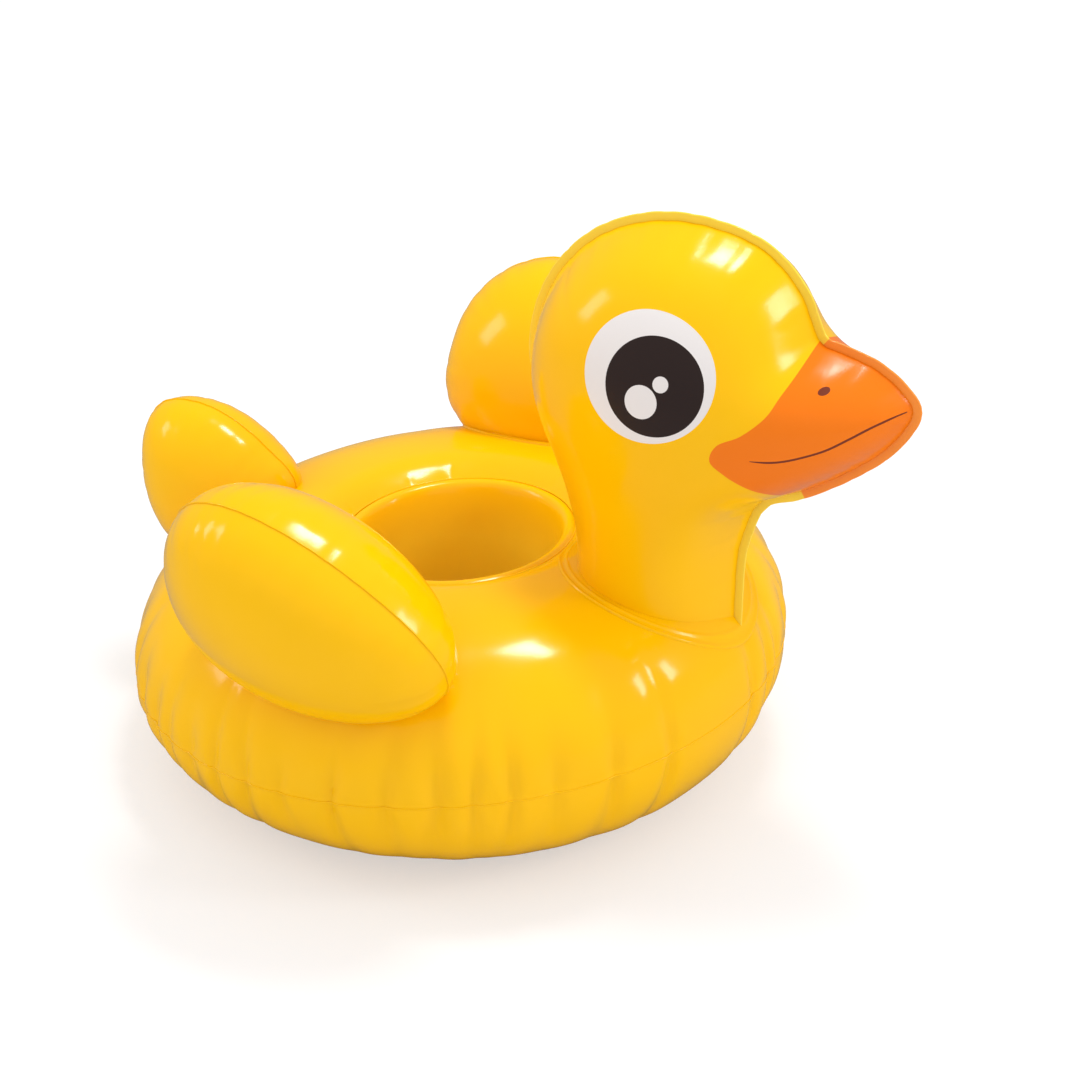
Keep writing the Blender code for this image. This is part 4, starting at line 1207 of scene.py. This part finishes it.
def build_valve():
    """The profiles are radii and heights, and the bars are two corners, in the valve's own frame."""
    place = valve_matrix()
    flange = turned("valve_flange_disc", [
        (0.0050, 0.0000), (0.0053, 0.0018), (0.0064, 0.0018), (0.0068, 0.0013), (0.0082, 0.0009),
        (0.0094, 0.0003), (0.0098, -0.0004), (0.0098, -0.0012), (0.0090, -0.0010)], bevel=FLANGE_BEVEL)
    stem = turned("valve_stem_tube", [
        (BORE_RADIUS, STEM_BOTTOM), (STEM_RADIUS, STEM_BOTTOM), (STEM_RADIUS, 0.0072), (STEM_RADIUS, 0.0088),
        (LIP_RADIUS, 0.0091), (LIP_RADIUS, STEM_TOP), (0.0036, STEM_TOP), (BORE_RADIUS, 0.0094)],
        bevel=STEM_BEVEL)
    loop = turned("loop", [(0.0051, 0.0075), (0.0064, 0.0075), (0.0064, 0.0086), (0.0051, 0.0086)],
                  bevel=LOOP_BEVEL)
    ring = joined("strap_ring_loop", [
        loop,
        bar("arm", (0.0061, -0.0015, 0.0077), (0.0098, 0.0015, 0.0085), BAR_BEVEL),
        bar("post", (0.0090, -0.0015, 0.0080), (0.0098, 0.0015, 0.0102), BAR_BEVEL)])
    flap = turned("valve_flap_disc", [(0, -0.0050), (0.0040, -0.0050), (0.0040, -0.0043), (0, -0.0043)],
                  bevel=FLAP_BEVEL)
    plug = turned("valve_plug_cap", [
        (0, 0.0073), (0.0018, 0.0073), (0.0025, 0.0079), (0.0028, 0.0090), (0.0026, 0.0103),
        (0.0052, 0.0103), (0.0052, 0.0119), (0.0046, 0.0125), (0.0020, 0.0125), (0.0016, 0.0122),
        (0, 0.0122)], bevel=STEM_BEVEL)
    strap = bar("plug_strap_strip", (0.0048, -0.0014, 0.0103), (0.0098, 0.0014, 0.0110), BAR_BEVEL)
    start, end = (tuple(place @ Vector(point)) for point in STRAP_BEND)
    for mesh, body, node in (
            (flange, "ring", "valve_flange"), (stem, "stem", "valve_stem"), (ring, "stem", "strap_ring"),
            (flap, "flap", "valve_flap"), (plug, "plug", "valve_plug"), (strap, None, "plug_strap")):
        mesh.transform(place)
        piece = new_object(mesh.name, face_outwards(mesh))
        bend = None if body else ("stem", "plug", start, end)
        dress(piece, "soft_vinyl", body, node, blend=bend)


# ---- stage

FLOOR_HALF = 6
# The floor's brightness to the light that it throws back, to reflections, and to the camera
PAPER, PAPER_REFLECTED = (0.80, 0.80, 0.81, 1), (0.22, 0.22, 0.22, 1)
PAPER_SEEN, PAPER_GLOW = (0.46, 0.46, 0.47, 1), 0.51
SKY_FILL, SKY_REFLECTED = 0.95, 0.25
AIM_RIGHT, AIM_UP = 0.0337, 0.0755
SENSOR_WIDTH, CLIP_START = 36, 0.01
LAMP_AIM = Vector((0, 0, 0.08))


def build_floor():
    mesh = bpy.data.meshes.new("floor")
    corners = [(x * FLOOR_HALF, y * FLOOR_HALF, 0) for x, y in ((-1, -1), (1, -1), (1, 1), (-1, 1))]
    mesh.from_pydata(corners, [], [(0, 1, 2, 3)])
    linked("floor", mesh)
    material = bpy.data.materials.new("Pale matt paper")
    tree = emptied_tree(material)
    output = add_node(tree, "ShaderNodeOutputMaterial")
    path = add_node(tree, "ShaderNodeLightPath")
    paper, dim, seen = (add_node(tree, "ShaderNodeBsdfDiffuse", inputs={"Color": colour}).outputs[0]
                        for colour in (PAPER, PAPER_REFLECTED, PAPER_SEEN))
    glow = add_node(tree, "ShaderNodeEmission", inputs={"Color": (1, 1, 1, 1), "Strength": PAPER_GLOW})
    bright = add_node(tree, "ShaderNodeAddShader", inputs={0: seen, 1: glow.outputs[0]})
    under = add_node(tree, "ShaderNodeMixShader", inputs={0: path.outputs["Is Glossy Ray"], 1: paper, 2: dim})
    mixed = add_node(tree, "ShaderNodeMixShader", inputs={
        0: path.outputs["Is Camera Ray"], 1: under.outputs[0], 2: bright.outputs[0]})
    tree.links.new(mixed.outputs[0], output.inputs["Surface"])
    mesh.materials.append(material)


def build_world(scene):
    """White to the camera and through clear pieces, an even fill to matt surfaces, dim in reflections."""
    scene.world = bpy.data.worlds.new("White studio")
    tree = emptied_tree(scene.world)
    output = add_node(tree, "ShaderNodeOutputWorld")
    path = add_node(tree, "ShaderNodeLightPath")
    fill = add_node(tree, "ShaderNodeMapRange", inputs={
        "Value": path.outputs["Is Glossy Ray"], "To Min": SKY_FILL, "To Max": SKY_REFLECTED})
    passed = add_node(tree, "ShaderNodeMath", {"operation": "MAXIMUM"}, {
        0: path.outputs["Is Camera Ray"], 1: path.outputs["Is Transmission Ray"]})
    strength = add_node(tree, "ShaderNodeMath", {"operation": "MAXIMUM"}, {
        0: passed.outputs[0], 1: fill.outputs[0]})
    sky = add_node(tree, "ShaderNodeBackground", inputs={
        "Color": (1, 1, 1, 1), "Strength": strength.outputs[0]})
    tree.links.new(sky.outputs[0], output.inputs["Surface"])


def build_camera(scene, stage):
    azimuth, elevation = math.radians(stage.azimuth), math.radians(stage.elevation)
    right = Vector((math.cos(azimuth), math.sin(azimuth), 0))
    back = Vector((math.cos(elevation) * math.sin(azimuth), -math.cos(elevation) * math.cos(azimuth),
                   math.sin(elevation)))
    up = back.cross(right)
    base = Vector((RING_X, 0, 0))
    target = base + right * AIM_RIGHT + up * AIM_UP
    data = bpy.data.cameras.new("camera")
    data.lens = stage.lens
    data.sensor_width = SENSOR_WIDTH
    data.clip_start = CLIP_START
    camera = linked("camera", data)
    camera.location = base + back * stage.distance
    camera.rotation_euler = (target - camera.location).to_track_quat("-Z", "Y").to_euler()
    scene.camera = camera


def build_lamps(stage):
    """The softbox overhead draws the bright streaks, and a window on each side draws the soft ones."""
    lamps = (("softbox", (0.05, 0.24, 1.30), (0.34, 0.18), stage.overhead),
             ("right_window", (1.17, 0.25, 0.78), (0.26, 0.40), stage.windows),
             ("left_window", (-1.15, -0.42, 0.72), (0.30, 0.45), stage.windows / 2))
    for name, place, size, power in lamps:
        lamp = bpy.data.lights.new(name, "AREA")
        lamp.shape = "RECTANGLE"
        lamp.size, lamp.size_y = size
        lamp.energy = power
        obj = linked(name, lamp)
        obj.location = place
        obj.rotation_euler = (LAMP_AIM - obj.location).to_track_quat("-Z", "Y").to_euler()


def build_stage(stage):
    scene = bpy.context.scene
    scene.view_settings.view_transform = "Standard"
    build_floor()
    build_world(scene)
    build_camera(scene, stage)
    build_lamps(stage)


# ---- operators and panel

class DUCK_OT_ring(bpy.types.Operator):
    """Build the ring's three film panels and their seam beads"""
    bl_idname = "duck.ring"
    bl_label = "Ring"

    def execute(self, context):
        build_ring(context.scene.duck_sizes)
        return {"FINISHED"}


class DUCK_OT_head(bpy.types.Operator):
    """Build the head and neck films, the beak, the printed eyes and the weld margin"""
    bl_idname = "duck.head"
    bl_label = "Head"

    def execute(self, context):
        build_head(context.scene.duck_sizes)
        return {"FINISHED"}


class DUCK_OT_wings(bpy.types.Operator):
    """Build both wings"""
    bl_idname = "duck.wings"
    bl_label = "Wings"

    def execute(self, context):
        build_wings(context.scene.duck_sizes)
        return {"FINISHED"}


class DUCK_OT_tail(bpy.types.Operator):
    """Build the tail"""
    bl_idname = "duck.tail"
    bl_label = "Tail"

    def execute(self, context):
        build_tail(context.scene.duck_sizes)
        return {"FINISHED"}


class DUCK_OT_collars(bpy.types.Operator):
    """Build the weld bands round the feet of the neck, wings and tail"""
    bl_idname = "duck.collars"
    bl_label = "Root Bands"

    def execute(self, context):
        build_collars(context.scene.duck_sizes)
        return {"FINISHED"}


class DUCK_OT_valve(bpy.types.Operator):
    """Build the inflation valve"""
    bl_idname = "duck.valve"
    bl_label = "Valve"

    def execute(self, context):
        build_valve()
        return {"FINISHED"}


class DUCK_OT_stage(bpy.types.Operator):
    """Build the floor, lamps, world and camera"""
    bl_idname = "duck.stage"
    bl_label = "Stage"

    def execute(self, context):
        build_stage(context.scene.duck_stage)
        return {"FINISHED"}


OPERATORS = (DUCK_OT_ring, DUCK_OT_head, DUCK_OT_wings, DUCK_OT_tail, DUCK_OT_collars, DUCK_OT_valve,
             DUCK_OT_stage)


class DUCK_PT_panel(bpy.types.Panel):
    """Lists the float's pieces and its settings"""
    bl_label = "Duck Float"
    bl_space_type = "VIEW_3D"
    bl_region_type = "UI"
    bl_category = "Duck Float"

    def draw(self, context):
        for operator in OPERATORS:
            self.layout.operator(operator.bl_idname)
        scene = context.scene
        for group in (scene.duck_sizes, scene.duck_colours, scene.duck_stage):
            for name in group.bl_rna.properties.keys():
                if name not in ("rna_type", "name"):
                    self.layout.prop(group, name)


GROUPS = (("duck_sizes", DuckFilmSizes), ("duck_colours", DuckColours), ("duck_stage", DuckStageSizes))


def register():
    for name, group in GROUPS:
        bpy.utils.register_class(group)
        setattr(bpy.types.Scene, name, PointerProperty(type=group))
    for kind in (*OPERATORS, DUCK_PT_panel):
        bpy.utils.register_class(kind)


def unregister():
    for kind in (DUCK_PT_panel, *reversed(OPERATORS)):
        bpy.utils.unregister_class(kind)
    for name, group in reversed(GROUPS):
        delattr(bpy.types.Scene, name)
        bpy.utils.unregister_class(group)


def main():
    register()
    for operator in OPERATORS:
        group, name = operator.bl_idname.split(".")
        getattr(getattr(bpy.ops, group), name)()


if __name__ == "__main__":
    main()
